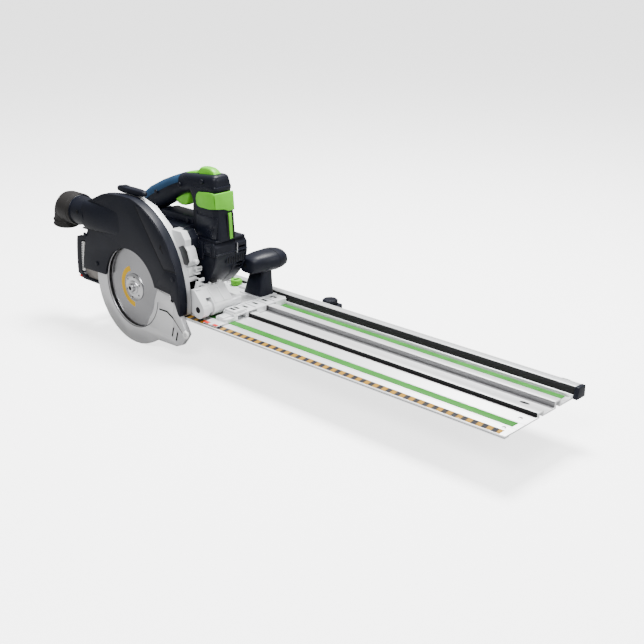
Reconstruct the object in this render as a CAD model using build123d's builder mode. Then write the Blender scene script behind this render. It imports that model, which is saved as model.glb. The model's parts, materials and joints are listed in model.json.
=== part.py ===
"""Cordless cross-cutting saw on a short guide rail, in millimetres.

+X is the cutting direction, +Y points away from the blade side, +Z is up. The origin is on the
workpiece surface, at the rail's cutting edge, straight below the blade's axis with the saw parked.
"""

import os
from math import cos, radians, sin

from build123d import *

os.makedirs("parts", exist_ok=True)

# ---------------------------------------------------------------- driving dimensions
BLADE_R = 80.0
BLADE_T = 1.8
BLADE_Y = -2.5  # middle of the blade
HUB_Z = 25.0  # blade axis above the workpiece at full depth
ARBOR_R = 10.0

RAIL_START, RAIL_END = -64.0, 666.0
FLANGE_Z0, FLANGE_Z1 = 1.0, 3.0
STRIP_Z = 3.8  # top of the glide strips
FENCE_Y0, FENCE_Y1, FENCE_Z1 = 143.5, 163.0, 16.0
RIB_A = (69.4, 80.0, 8.0)  # near face, far face, top
RIB_B = (105.0, 117.0, 10.6)

BASE_X0, BASE_X1 = -128.0, 177.0
BASE_Y0, BASE_Y1 = 22.0, 143.0
BASE_Z0, BASE_Z1 = 3.9, 14.0
DECK_Z = 11.2  # underside of the base's deck

TILT_Y, TILT_Z = BLADE_Y, 0.0
SEGMENT_R0, SEGMENT_R1, SLOT_R, SLOT_W = 44.0, 60.0, 52.0, 6.4
STUD_ANGLE, TILT_RANGE = 17.0, 45.0

PIVOT_X, PIVOT_Z, PIVOT_R = 138.0, 20.0, 5.0
BARREL_R = 13.0

GUARD_R, GUARD_OPEN_R = 88.0, 61.0
GUARD_Y0, GUARD_Y1 = -8.0, -1.0
NECK_R, NECK_RING_R = 15.0, 20.5
RUNNING_FIT = 0.05

COVER_Y0, COVER_Y1 = -12.0, 2.0
COVER_OPEN_R = 61.0
WALL_Y0, WALL_Y1 = 9.0, 13.0  # web of the blade housing
GEARBOX_Y1 = 38.0
TUBE_X0, TUBE_Z, TUBE_R = -138.0, 121.0, 22.5

MODULE_ANGLE = 40.0
DRIVEN_R, LAY_PINION_R, LAY_GEAR_R, MOTOR_PINION_R = 17.5, 11.0, 20.0, 9.0
MESH_GAP = 0.3
LAY_X = (DRIVEN_R + LAY_PINION_R + MESH_GAP) * cos(radians(MODULE_ANGLE))
LAY_Z = HUB_Z + (DRIVEN_R + LAY_PINION_R + MESH_GAP) * sin(radians(MODULE_ANGLE))
MOTOR_X = LAY_X + (LAY_GEAR_R + MOTOR_PINION_R + MESH_GAP) * cos(radians(MODULE_ANGLE))
MOTOR_Z = LAY_Z + (LAY_GEAR_R + MOTOR_PINION_R + MESH_GAP) * sin(radians(MODULE_ANGLE))
MOTOR_SPLIT_Y, MOTOR_Y1 = 76.0, 98.0

HANDLE_Y = 62.0
HANDLE_HALF = 18.0
FOOT_Y0, FOOT_Y1 = 27.0, 97.0
FOOT_X0, FOOT_X1, FOOT_Z0, FOOT_Z1 = -66.0, 86.0, 113.5, 128.0
BATTERY_X0, BATTERY_X1, BATTERY_Z0, BATTERY_Z1 = -97.0, -9.0, 53.0, 113.0

STOP_X, STOP_Y = 235.0, 177.0


def finish(piece, name):
    """Label a finished piece and write it to its own file."""
    piece.part.label = name
    export_step(piece.part, f"parts/{name}.step")


def side(y):
    """Sketch plane at the given Y, with local axes X and Z; extrude by a negative amount to go +Y."""
    return Plane.XZ.offset(-y)


def across(x):
    """Sketch plane at the given X, with local axes Y and Z; extrude goes +X."""
    return Plane.YZ.offset(x)


def polar(radius, angle, x=0.0, z=0.0):
    """Point at a radius and an angle in degrees about a centre."""
    return (x + radius * cos(radians(angle)), z + radius * sin(radians(angle)))


def bar_box(name, x, y, z):
    """Write a plain rectangular piece between pairs of limits."""
    with BuildPart() as bar:
        with BuildSketch(Plane.XY.offset(z[0])):
            with Locations(((x[0] + x[1]) / 2, (y[0] + y[1]) / 2)):
                Rectangle(x[1] - x[0], y[1] - y[0])
        extrude(amount=z[1] - z[0])
    finish(bar, name)


def side_ring(outer, inner, x, z, y0, y1):
    """Add a ring about an axis along Y to the open part."""
    with BuildSketch(side(y0)) as ring:
        with Locations((x, z)):
            Circle(outer)
            if inner:
                Circle(inner, mode=Mode.SUBTRACT)
    extrude(ring.sketch, amount=-(y1 - y0))


def side_slab(points, y0, y1, mode=Mode.ADD):
    """Add or cut a flat slab with an XZ outline between two Y limits in the open part."""
    with BuildSketch(side(y0)) as slab:
        with BuildLine():
            Polyline(*points, close=True)
        make_face()
    extrude(slab.sketch, amount=-(y1 - y0), mode=mode)


def gear_points(tip, depth, teeth, x, z):
    """Outline of a straight toothed wheel about a centre in the XZ plane."""
    points = []
    pitch = 360 / teeth
    for index in range(teeth):
        for share, radius in ((0, tip - depth), (0.3, tip - depth), (0.45, tip), (0.8, tip)):
            points.append(polar(radius, (index + share) * pitch, x, z))
    return points


# ---------------------------------------------------------------- guide rail
rib_a0, rib_a1, rib_a_top = RIB_A
rib_b0, rib_b1, rib_b_top = RIB_B
with BuildPart() as rail:
    with BuildSketch(across(RAIL_START)):
        with BuildLine():
            Polyline(
                (2.0, FLANGE_Z0),
                (2.0, FLANGE_Z1),
                (rib_a0, FLANGE_Z1),
                (rib_a0, rib_a_top),
                (rib_a1, rib_a_top),
                (rib_a1 + 1, FLANGE_Z1),
                (rib_b0, FLANGE_Z1),
                (rib_b0, rib_b_top),
                (rib_b1, rib_b_top),
                (rib_b1 + 1, FLANGE_Z1),
                (FENCE_Y0, FLANGE_Z1),
                (FENCE_Y0, FLANGE_Z0),
                (rib_b1 - 2, FLANGE_Z0),
                (rib_b1 - 2, rib_b_top - 2),
                (rib_b0 + 2, rib_b_top - 2),
                (rib_b0 + 2, FLANGE_Z0),
                (rib_a1 - 2, FLANGE_Z0),
                (rib_a1 - 2, rib_a_top - 2),
                (rib_a0 + 2, rib_a_top - 2),
                (rib_a0 + 2, FLANGE_Z0),
                close=True,
            )
        make_face()
    extrude(amount=RAIL_END - RAIL_START)
finish(rail, "rail_profile")

with BuildPart() as splinter_guard:
    with BuildSketch(across(RAIL_START)):
        with BuildLine():
            Polyline((0, 0), (9, 0), (9, 1), (2, 1), (2, 3), (0, 3), close=True)
        make_face()
    extrude(amount=RAIL_END - RAIL_START)
finish(splinter_guard, "splinter_guard")

STRIP_X = (RAIL_START + 8, RAIL_END - 8)
with BuildPart() as glide_strips:
    for strip_y0, strip_y1 in ((27.3, 39.5), (131.8, 141.2)):
        with BuildSketch(Plane.XY.offset(FLANGE_Z1)):
            with Locations(((STRIP_X[0] + STRIP_X[1]) / 2, (strip_y0 + strip_y1) / 2)):
                Rectangle(STRIP_X[1] - STRIP_X[0], strip_y1 - strip_y0)
        extrude(amount=STRIP_Z - FLANGE_Z1)
finish(glide_strips, "glide_strips")

bar_box("rib_insert", (RAIL_START, RAIL_END - 2), (68.2, rib_a0), (FLANGE_Z1, rib_a_top - 0.4))

with BuildPart() as grip_strips:
    for strip_y, strip_w in ((29, 14), (93, 14), (130, 16)):
        with BuildSketch(Plane.XY):
            with Locations(((RAIL_START + RAIL_END) / 2, strip_y)):
                Rectangle(RAIL_END - RAIL_START - 4, strip_w)
        extrude(amount=FLANGE_Z0)
finish(grip_strips, "grip_strips")

with BuildPart() as fence:
    with BuildSketch(across(RAIL_START)):
        with BuildLine():
            Polyline(
                (FENCE_Y0, FLANGE_Z0),
                (FENCE_Y0, 6.5),
                (147, 6.5),
                (149.3, FENCE_Z1),
                (FENCE_Y1 - 2, FENCE_Z1),
                (FENCE_Y1, FENCE_Z1 - 2),
                (FENCE_Y1, FLANGE_Z0),
                close=True,
            )
        make_face()
        with Locations((156, 7.5)):
            Rectangle(9, 9, mode=Mode.SUBTRACT)
    extrude(amount=RAIL_END - RAIL_START)
finish(fence, "fence_profile")

with BuildPart() as fence_insert:
    with BuildSketch(across(RAIL_START)):
        with BuildLine():
            Polyline((145.2, 6.5), (147, 6.5), (149.15, 15.4), (147.9, 15.4), close=True)
        make_face()
    extrude(amount=RAIL_END - RAIL_START)
finish(fence_insert, "fence_insert")

with BuildPart() as end_caps:
    for cap_x in (RAIL_START - 6, RAIL_END):
        with BuildSketch(across(cap_x)):
            with BuildLine():
                Polyline((143.7, 0.6), (148, FENCE_Z1), (FENCE_Y1, FENCE_Z1), (FENCE_Y1, 0.6), close=True)
            make_face()
        extrude(amount=6)
    fillet(end_caps.edges().filter_by(Axis.X), radius=1.2)
finish(end_caps, "fence_end_caps")

bar_box("cord_anchor", (636, 648), (FENCE_Y1, 169), (8, 13))

with BuildPart() as fixed_stop:
    with BuildSketch(Plane.XY.offset(-12)):
        with Locations((STOP_X, 58)):
            Circle(7)
    extrude(amount=12)
    with BuildSketch(Plane.XY):
        with Locations((STOP_X, 58)):
            SlotOverall(40, 18)
    extrude(amount=FLANGE_Z0)
finish(fixed_stop, "fixed_stop")

# ---------------------------------------------------------------- sliding angle stop on the fence
with BuildPart() as stop_slider:
    with BuildSketch(Plane.XY.offset(1.5)):
        with Locations((STOP_X, (FENCE_Y1 + 0.4 + 190) / 2)):
            RectangleRounded(30, 190 - FENCE_Y1 - 0.4, 4)
    extrude(amount=7)
    with BuildSketch(Plane.XY.offset(-12)):
        with Locations((STOP_X, STOP_Y)):
            Circle(7)
    extrude(amount=13.5)
    with BuildSketch(Plane.XY.offset(8.5)):
        with Locations((STOP_X, STOP_Y)):
            Circle(3)
    extrude(amount=6)
finish(stop_slider, "stop_slider")

with BuildPart() as stop_knob:
    with BuildSketch(Plane.XY.offset(8.9)):
        with Locations((STOP_X, STOP_Y)):
            Circle(11)
    extrude(amount=8)
    with BuildSketch(Plane.XY.offset(8.9)):
        with Locations((STOP_X, STOP_Y)):
            Circle(3.05)
    extrude(amount=5.8, mode=Mode.SUBTRACT)
    fillet(stop_knob.faces().sort_by(Axis.Z)[-1].edges(), radius=1.5)
finish(stop_knob, "stop_knob")

# ---------------------------------------------------------------- base plate (carriage)
ADJUSTERS = {"front_rail_adjuster": (79.0, 131.0), "rear_rail_adjuster": (-100.0, 105.0)}
ADJUSTER_STEM_R = 3.0
OPEN_X0, OPEN_X1, OPEN_Y1 = -62.0, 153.0, 62.0
REAR_TAB_X0 = -92.0
with BuildPart() as base:
    with BuildSketch(Plane.XY.offset(DECK_Z)):
        with Locations(((BASE_X0 + BASE_X1) / 2, (BASE_Y0 + BASE_Y1) / 2)):
            Rectangle(BASE_X1 - BASE_X0, BASE_Y1 - BASE_Y0)
        with Locations(((OPEN_X0 + OPEN_X1) / 2, (BASE_Y0 + OPEN_Y1) / 2)):
            Rectangle(OPEN_X1 - OPEN_X0, OPEN_Y1 - BASE_Y0, mode=Mode.SUBTRACT)
        with Locations(((BASE_X0 + REAR_TAB_X0) / 2, (BASE_Y0 + OPEN_Y1) / 2)):
            Rectangle(REAR_TAB_X0 - BASE_X0, OPEN_Y1 - BASE_Y0, mode=Mode.SUBTRACT)
    extrude(amount=BASE_Z1 - DECK_Z)
    # runners that stand on the rail between its ribs
    for runner_x0, runner_y0, runner_y1 in (
        (BASE_X0, OPEN_Y1, 66.5),
        (BASE_X0, 83.5, 101.5),
        (BASE_X0, 121.0, BASE_Y1 - 0.2),
        (OPEN_X1, 27.5, 45.0),
    ):
        with BuildSketch(Plane.XY.offset(BASE_Z0)):
            with Locations(((runner_x0 + BASE_X1) / 2, (runner_y0 + runner_y1) / 2)):
                Rectangle(BASE_X1 - runner_x0, runner_y1 - runner_y0)
        extrude(amount=DECK_Z - BASE_Z0)
    with BuildSketch(Plane.XY.offset(BASE_Z0)):
        with Locations(((REAR_TAB_X0 + OPEN_X0) / 2, 36.25)):
            Rectangle(OPEN_X0 - REAR_TAB_X0, 17.5)
    extrude(amount=DECK_Z - BASE_Z0)
    # low near foot at the front corner
    with BuildSketch(Plane.XY.offset(9.5)):
        with Locations(((OPEN_X1 + BASE_X1) / 2, 30)):
            Rectangle(BASE_X1 - OPEN_X1 + 1, 17)
    extrude(amount=BASE_Z1 - 9.5, mode=Mode.SUBTRACT)
    with BuildSketch(Plane.XY.offset(BASE_Z0)):
        with Locations(((OPEN_X1 + BASE_X1) / 2, 31)):
            RectangleRounded(BASE_X1 - OPEN_X1, 18, 4)
    extrude(amount=5.6)
    # lightening slots in the deck's front edge
    with BuildSketch(Plane.XY.offset(DECK_Z)):
        with Locations((163, 72), (163, 92), (163, 111), (163, 131)):
            SlotOverall(12, 4.5)
    extrude(amount=BASE_Z1 - DECK_Z, mode=Mode.SUBTRACT)
    with BuildSketch(Plane.XY.offset(DECK_Z)):
        with Locations(*ADJUSTERS.values()):
            Circle(ADJUSTER_STEM_R + RUNNING_FIT)
    extrude(amount=BASE_Z1 - DECK_Z, mode=Mode.SUBTRACT)
    chamfer(base.faces().sort_by(Axis.X)[-1].edges().group_by(Axis.Z)[-1], length=2.0)
finish(base, "base_plate")

for adjuster_name, (adjuster_x, adjuster_y) in ADJUSTERS.items():
    with BuildPart() as adjuster:
        with BuildSketch(Plane.XY.offset(BASE_Z1 + 0.2)):
            with Locations((adjuster_x, adjuster_y)):
                RegularPolygon(9, 12)
        extrude(amount=9)
        fillet(adjuster.faces().sort_by(Axis.Z)[-1].edges(), radius=1.2)
        with BuildSketch(Plane.XY.offset(DECK_Z + 0.2)):
            with Locations((adjuster_x, adjuster_y)):
                Circle(ADJUSTER_STEM_R)
        extrude(amount=BASE_Z1 - DECK_Z)
    finish(adjuster, adjuster_name)


def bevel_segment(x):
    """Upright quadrant plate with an arc slot about the tilting axis."""
    slot_line = CenterArc((TILT_Y, TILT_Z), SLOT_R, STUD_ANGLE, TILT_RANGE)
    with BuildPart() as segment:
        with BuildSketch(across(x)):
            with BuildLine():
                start, end = 8.0, 69.0
                mid = (start + end) / 2
                top = ThreePointArc(
                    polar(SEGMENT_R1, start, TILT_Y, TILT_Z),
                    polar(SEGMENT_R1, mid, TILT_Y, TILT_Z),
                    polar(SEGMENT_R1, end, TILT_Y, TILT_Z),
                )
                under = ThreePointArc(
                    polar(SEGMENT_R0, end, TILT_Y, TILT_Z),
                    polar(SEGMENT_R0, mid, TILT_Y, TILT_Z),
                    polar(SEGMENT_R0, start, TILT_Y, TILT_Z),
                )
                Line(top @ 1, under @ 0)
                Line(under @ 1, top @ 0)
            make_face()
            with Locations(((44 + OPEN_Y1) / 2, 9.5)):
                Rectangle(OPEN_Y1 - 44, 9)
            SlotArc(slot_line, SLOT_W, mode=Mode.SUBTRACT)
        extrude(amount=5)
    return segment


front_segment = bevel_segment(118.0)
rear_segment = bevel_segment(-100.5)
with BuildPart() as bevel_segments:
    add(front_segment.part)
    add(rear_segment.part)
finish(bevel_segments, "bevel_segments")

with BuildPart() as cutline_indicator:
    with BuildSketch(Plane.XY.offset(STRIP_Z + 0.4)):
        with Locations((163, 12.5)):
            RectangleRounded(30, 19, 2)
        with Locations((156, 6)):
            Rectangle(8, 2.5, mode=Mode.SUBTRACT)
        with Locations((172, 6)):
            Rectangle(5, 2.5, mode=Mode.SUBTRACT)
    extrude(amount=1.6)
finish(cutline_indicator, "cutline_indicator")

with BuildPart() as pedestal:
    with BuildSketch(Plane.XY.offset(BASE_Z1)):
        with Locations((133.5, 127)):
            Rectangle(42, 31)
    with BuildSketch(Plane.XY.offset(54)):
        with Locations((137, 130)):
            Rectangle(30, 19)
    loft()
    fillet(pedestal.edges().filter_by(Axis.Z, reverse=True).filter_by(GeomType.LINE).group_by(Axis.Z)[1], 3)
finish(pedestal, "front_handle_stem")

with BuildPart() as knob:
    with BuildSketch(Plane.XZ.offset(-101)):
        with Locations((140, 65.5)):
            Ellipse(15, 10)
    with BuildSketch(Plane.XZ.offset(-115)):
        with Locations((143, 67.5)):
            Ellipse(21, 14)
    with BuildSketch(Plane.XZ.offset(-150)):
        with Locations((144, 68)):
            Ellipse(23, 15)
    with BuildSketch(Plane.XZ.offset(-166)):
        with Locations((144, 68)):
            Ellipse(17, 11)
    loft()
finish(knob, "front_handle_grip")

# ---------------------------------------------------------------- tilting frame
STUD_Y, STUD_Z = polar(SLOT_R, STUD_ANGLE, TILT_Y, TILT_Z)
BLOCK_X0, BLOCK_X1, BLOCK_Y0, BLOCK_Y1 = 124.5, 151.0, 4.0, 60.0
LUG_Y0, LUG_Y1 = 16.0, 24.0
BEAM_Y0, BEAM_Y1, BEAM_Z0, BEAM_Z1 = 63.0, 76.0, 15.0, 21.5
ARM_X0, ARM_X1 = -128.0, -118.0

with BuildPart() as pivot_block:
    with BuildSketch(side(BLOCK_Y0)):
        with Locations((PIVOT_X, PIVOT_Z)):
            Circle(BARREL_R)
        with BuildLine():
            Polyline(
                (BLOCK_X0, 12),
                (BLOCK_X0, 48),
                (131, 48),
                (149, 28),
                (PIVOT_X + BARREL_R - 0.5, PIVOT_Z),
                (PIVOT_X, PIVOT_Z - BARREL_R + 0.5),
                close=True,
            )
        make_face()
    extrude(amount=-(BLOCK_Y1 - BLOCK_Y0))
    with BuildSketch(side(BLOCK_Y1)):
        with Locations(((BLOCK_X0 + BLOCK_X1) / 2, 20.5)):
            RectangleRounded(BLOCK_X1 - BLOCK_X0, 11, 2)
    extrude(amount=-(BEAM_Y1 - BLOCK_Y1))
    with BuildSketch(side(LUG_Y0 - 0.5)):
        with Locations((PIVOT_X, PIVOT_Z)):
            Rectangle(40, 32)
    extrude(amount=-(LUG_Y1 - LUG_Y0 + 1), mode=Mode.SUBTRACT)
    with BuildSketch(side(BLOCK_Y0)):
        with Locations((PIVOT_X, PIVOT_Z)):
            Circle(PIVOT_R)
    extrude(amount=-(BLOCK_Y1 - BLOCK_Y0 - 4), mode=Mode.SUBTRACT)
    with BuildSketch(across(BLOCK_X0)):
        with Locations((STUD_Y, STUD_Z)):
            Circle(3)
    extrude(amount=-18)
finish(pivot_block, "pivot_block")

with BuildPart() as pivot_pin:
    side_ring(PIVOT_R, 0, PIVOT_X, PIVOT_Z, BLOCK_Y0 + 5, BLOCK_Y1 - 4)
finish(pivot_pin, "pivot_pin")

with BuildPart() as tilt_beam:
    with BuildSketch(Plane.XY.offset(BEAM_Z0)):
        with Locations(((ARM_X0 + BLOCK_X0) / 2, (BEAM_Y0 + BEAM_Y1) / 2)):
            Rectangle(BLOCK_X0 - ARM_X0, BEAM_Y1 - BEAM_Y0)
        with Locations(((ARM_X0 + ARM_X1) / 2, (11 + BEAM_Y1) / 2)):
            Rectangle(ARM_X1 - ARM_X0, BEAM_Y1 - 11)
    extrude(amount=BEAM_Z1 - BEAM_Z0)
    with BuildSketch(across(ARM_X1)):
        with Locations((STUD_Y, STUD_Z)):
            Circle(3)
    extrude(amount=26)
finish(tilt_beam, "tilt_beam")

BEVEL_KNOBS = {"front_bevel_knob": 106.4, "rear_bevel_knob": -112.5}
for knob_name, knob_x in BEVEL_KNOBS.items():
    with BuildPart() as bevel_knob:
        with BuildSketch(across(knob_x)):
            with Locations((STUD_Y, STUD_Z)):
                RegularPolygon(10, 8)
        extrude(amount=11)
        chamfer(bevel_knob.edges().filter_by(Axis.X, reverse=True), length=1)
        with BuildSketch(across(knob_x)):
            with Locations((STUD_Y, STUD_Z)):
                Circle(3.05)
        extrude(amount=11, mode=Mode.SUBTRACT)
    finish(bevel_knob, knob_name)

SCALE_R0, SCALE_R1 = 284.0, 297.0
SCALE_Y0, SCALE_Y1 = 2.5, 11.0
SCALE_FOOT_Z = 3.6  # clears the rail when the saw slides over it
with BuildPart() as depth_segment:
    with BuildSketch(side(SCALE_Y0)):
        with BuildLine():
            outer = ThreePointArc(
                polar(SCALE_R1, 181.6, PIVOT_X, PIVOT_Z),
                polar(SCALE_R1, 175.5, PIVOT_X, PIVOT_Z),
                polar(SCALE_R1, 169.6, PIVOT_X, PIVOT_Z),
            )
            Polyline(outer @ 1, (-126, 79), (-126, 73), polar(SCALE_R0, 170.2, PIVOT_X, PIVOT_Z))
            ThreePointArc(
                polar(SCALE_R0, 170.2, PIVOT_X, PIVOT_Z),
                polar(SCALE_R0, 175.5, PIVOT_X, PIVOT_Z),
                polar(SCALE_R0, 181.2, PIVOT_X, PIVOT_Z),
            )
            Polyline(
                polar(SCALE_R0, 181.2, PIVOT_X, PIVOT_Z),
                (-134, 8),
                (-101, 8),
                (-101, SCALE_FOOT_Z),
                (-144, SCALE_FOOT_Z),
                outer @ 0,
            )
        make_face()
    extrude(amount=-(SCALE_Y1 - SCALE_Y0))
finish(depth_segment, "depth_segment")

with BuildPart() as segment_plate:
    with BuildSketch(side(6)):
        with BuildLine():
            Polyline((-133, 8.3), (-140.5, 13.5), (-140.5, 62), (-127, 72), (-101.5, 72), (-101.5, 8.3), close=True)
        make_face()
    extrude(amount=-3.5)
finish(segment_plate, "segment_plate")

with BuildPart() as depth_scale:
    with BuildSketch(side(SCALE_Y0 + 0.2)):
        with BuildLine():
            scale_out = ThreePointArc(
                polar(SCALE_R0 - 0.3, 180.5, PIVOT_X, PIVOT_Z),
                polar(SCALE_R0 - 0.3, 175.5, PIVOT_X, PIVOT_Z),
                polar(SCALE_R0 - 0.3, 170.6, PIVOT_X, PIVOT_Z),
            )
            scale_in = ThreePointArc(
                polar(SCALE_R0 - 5, 170.6, PIVOT_X, PIVOT_Z),
                polar(SCALE_R0 - 5, 175.5, PIVOT_X, PIVOT_Z),
                polar(SCALE_R0 - 5, 180.5, PIVOT_X, PIVOT_Z),
            )
            Line(scale_out @ 1, scale_in @ 0)
            Line(scale_in @ 1, scale_out @ 0)
        make_face()
    extrude(amount=-3.2)
finish(depth_scale, "depth_scale")

# ---------------------------------------------------------------- saw unit: blade cover and housing
cover_crown = ThreePointArc((14, 165), (77, 131.5), (109.5, 75))
cover_front = ThreePointArc(cover_crown @ 1, (116.3, 40), (114.5, 8))
cover_top = ThreePointArc((-57, 160), (-24, 164.6), cover_crown @ 0)
cover_eye = ThreePointArc(
    polar(COVER_OPEN_R, 14, 0, HUB_Z), polar(COVER_OPEN_R, 90, 0, HUB_Z), polar(COVER_OPEN_R, 172.5, 0, HUB_Z)
)
cover_toe = Polyline((114.5, 8), (111.2, 11), (104.5, 27), (97.5, 31), (95, 37.5), cover_eye @ 0)
cover_heel = Line(cover_eye @ 1, (-120, 31))
cover_rear = ThreePointArc((-120, 31), (-113, 66), (-100, 99))
cover_shoulder = Polyline((-100, 99), (-100, 141), (-57, 160))
cover_profile = make_face(
    [cover_crown, cover_front, cover_top, cover_eye, *cover_toe.edges(), cover_heel, cover_rear,
     *cover_shoulder.edges()]
)
cover_inner = offset(cover_profile, amount=-3)

with BuildPart() as guard_cover:
    with BuildSketch(side(COVER_Y0)):
        add(cover_profile)
    extrude(amount=-(COVER_Y1 - COVER_Y0))
    with BuildSketch(across(TUBE_X0)):
        with Locations((0, TUBE_Z)):
            Circle(TUBE_R)
    extrude(amount=42)
    with BuildSketch(side(COVER_Y1)):
        with Locations((TUBE_X0, TUBE_Z)):
            Rectangle(100, 60)
    extrude(amount=-30, mode=Mode.SUBTRACT)
    with BuildSketch(side(COVER_Y0 + 2.5)):
        add(cover_inner)
        with Locations((0, HUB_Z)):
            Circle(93)
    extrude(amount=-(COVER_Y1 - COVER_Y0 - 2.5), mode=Mode.SUBTRACT)
    with BuildSketch(across(TUBE_X0)):
        with Locations((0, TUBE_Z)):
            Circle(TUBE_R - 2.5)
    extrude(amount=48, mode=Mode.SUBTRACT)
finish(guard_cover, "guard_cover")

HOUSING_LINE = (
    (-60, 158),
    (-31, 162),
    (11.7, 163.5),
    (43.9, 154.8),
    (77, 130.6),
    (97.5, 96.6),
    (109.6, 64.7),
    (112.6, 34.4),
    (110.8, 5),
    (-94, 5),
    (-94, 82),
    (-97, 100),
    (-97, 140),
)
GEAR_CASE = ((0, HUB_Z, 20, 18), (LAY_X, LAY_Z, 24, 21.5), (MOTOR_X, MOTOR_Z, 40, 37))
with BuildPart() as blade_housing:
    side_slab(HOUSING_LINE, COVER_Y1, WALL_Y1)
    with BuildSketch(side(COVER_Y1)):
        with BuildLine():
            Polyline(*HOUSING_LINE, close=True)
        make_face()
        offset(amount=-3, mode=Mode.REPLACE)
    extrude(amount=-(WALL_Y0 - COVER_Y1), mode=Mode.SUBTRACT)
    for case_x, case_z, case_r, _ in GEAR_CASE:
        side_ring(case_r, 0, case_x, case_z, WALL_Y1, GEARBOX_Y1 - 3)
    with BuildSketch(side(WALL_Y1)):
        with BuildLine():
            Polyline((0, 5), (30, 16), (70, 30), (80, 60), (48, 100), (14, 82), (-14, 38), close=True)
        make_face()
    extrude(amount=-(GEARBOX_Y1 - 3 - WALL_Y1))
    for case_x, case_z, _, hollow_r in GEAR_CASE:
        with BuildSketch(side(WALL_Y1 + 0.5)):
            with Locations((case_x, case_z)):
                Circle(hollow_r)
        extrude(amount=-(GEARBOX_Y1 - WALL_Y1), mode=Mode.SUBTRACT)
    side_ring(NECK_R, 0, 0, HUB_Z, 3, WALL_Y0)
    with BuildSketch(side(3)):
        with Locations((0, HUB_Z)):
            Circle(11)
    extrude(amount=-12, mode=Mode.SUBTRACT)
    side_slab(((76, 101), (76, 127), (88, 127), (88, 101)), WALL_Y1 - 3, FOOT_Y0 - 0.5)
    side_slab(((87, 101), (87, 127), (100, 127), (108, 116), (108, 101)), WALL_Y1 - 3, 35)
    side_slab(((84, 80), (84, 102), (104, 110), (113, 102), (118, 86), (112, 78)), WALL_Y1 - 3, 25)
    side_slab(((96, 6), (96, 30), (106, 23), (114, 25), (124, 29), (124, 11), (114, 6)), LUG_Y0, LUG_Y1)
    side_slab(((96, 6), (96, 30), (106, 23), (106, 6)), WALL_Y0, LUG_Y1)
    side_ring(10, 0, PIVOT_X, PIVOT_Z, LUG_Y0, LUG_Y1)
    side_slab(((118, 12), (118, 26.5), (PIVOT_X, 29.8), (PIVOT_X, 10.2)), LUG_Y0, LUG_Y1)
    side_slab(((-24, 3), (-24, 8.3), (24, 8.3), (24, 3)), COVER_Y1, WALL_Y0, Mode.SUBTRACT)
    with BuildSketch(side(LUG_Y0)):
        with Locations((PIVOT_X, PIVOT_Z)):
            Circle(PIVOT_R + 0.05)
    extrude(amount=-(LUG_Y1 - LUG_Y0), mode=Mode.SUBTRACT)
finish(blade_housing, "blade_housing")

with BuildPart() as gearbox_cover:
    with BuildSketch(side(GEARBOX_Y1 - 3)):
        for case_x, case_z, case_r, _ in GEAR_CASE:
            with Locations((case_x, case_z)):
                Circle(case_r)
        with Locations((0, HUB_Z)):
            Circle(11, mode=Mode.SUBTRACT)
        with Locations((LAY_X, LAY_Z)):
            Circle(9, mode=Mode.SUBTRACT)
        with Locations((MOTOR_X, MOTOR_Z)):
            Circle(13, mode=Mode.SUBTRACT)
    extrude(amount=-3)
finish(gearbox_cover, "gearbox_cover")

# ---------------------------------------------------------------- saw unit: motor housing
motor_nose = ThreePointArc((142, 89), (119, 49), (84.7, 28))
motor_back = Polyline((84.7, 28), (62, 24), (10, 30), (-4, 50), (-4, 112), (136, 112), (142, 105), (142, 89))
motor_profile = make_face([motor_nose, *motor_back.edges()])
motor_inner = offset(motor_profile, amount=-3)
VENT_Z = [54 + 6.5 * index for index in range(6)]

with BuildPart() as motor_housing:
    with BuildSketch(side(GEARBOX_Y1)):
        add(motor_profile)
    extrude(amount=-(MOTOR_SPLIT_Y - GEARBOX_Y1))
    with BuildSketch(side(GEARBOX_Y1 + 3)):
        add(motor_inner)
    extrude(amount=-(MOTOR_SPLIT_Y - GEARBOX_Y1 - 3), mode=Mode.SUBTRACT)
    with BuildSketch(side(GEARBOX_Y1)):
        with Locations((MOTOR_X, MOTOR_Z)):
            Circle(13)
    extrude(amount=-3, mode=Mode.SUBTRACT)
finish(motor_housing, "motor_housing")

with BuildPart() as motor_end_cap:
    with BuildSketch(side(MOTOR_SPLIT_Y)):
        add(motor_profile)
    extrude(amount=-(MOTOR_Y1 - MOTOR_SPLIT_Y))
    with BuildSketch(side(MOTOR_SPLIT_Y)):
        add(motor_inner)
    extrude(amount=-(MOTOR_Y1 - MOTOR_SPLIT_Y - 3), mode=Mode.SUBTRACT)
    with BuildSketch(across(118)):
        for vent_z in VENT_Z:
            with Locations(((MOTOR_SPLIT_Y + MOTOR_Y1) / 2 + 1, vent_z + 12)):
                SlotOverall(13, 3)
    extrude(amount=30, mode=Mode.SUBTRACT)
    with BuildSketch(side(MOTOR_Y1 - 6)):
        with Locations((MOTOR_X, MOTOR_Z)):
            Circle(12)
    extrude(amount=-3)
    with BuildSketch(side(MOTOR_Y1 - 6)):
        with Locations((MOTOR_X, MOTOR_Z)):
            Circle(8)
    extrude(amount=-3, mode=Mode.SUBTRACT)
finish(motor_end_cap, "motor_end_cap")

with BuildPart() as stator:
    side_ring(34, 21, MOTOR_X, MOTOR_Z, 46, 82)
finish(stator, "motor_stator")

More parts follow.
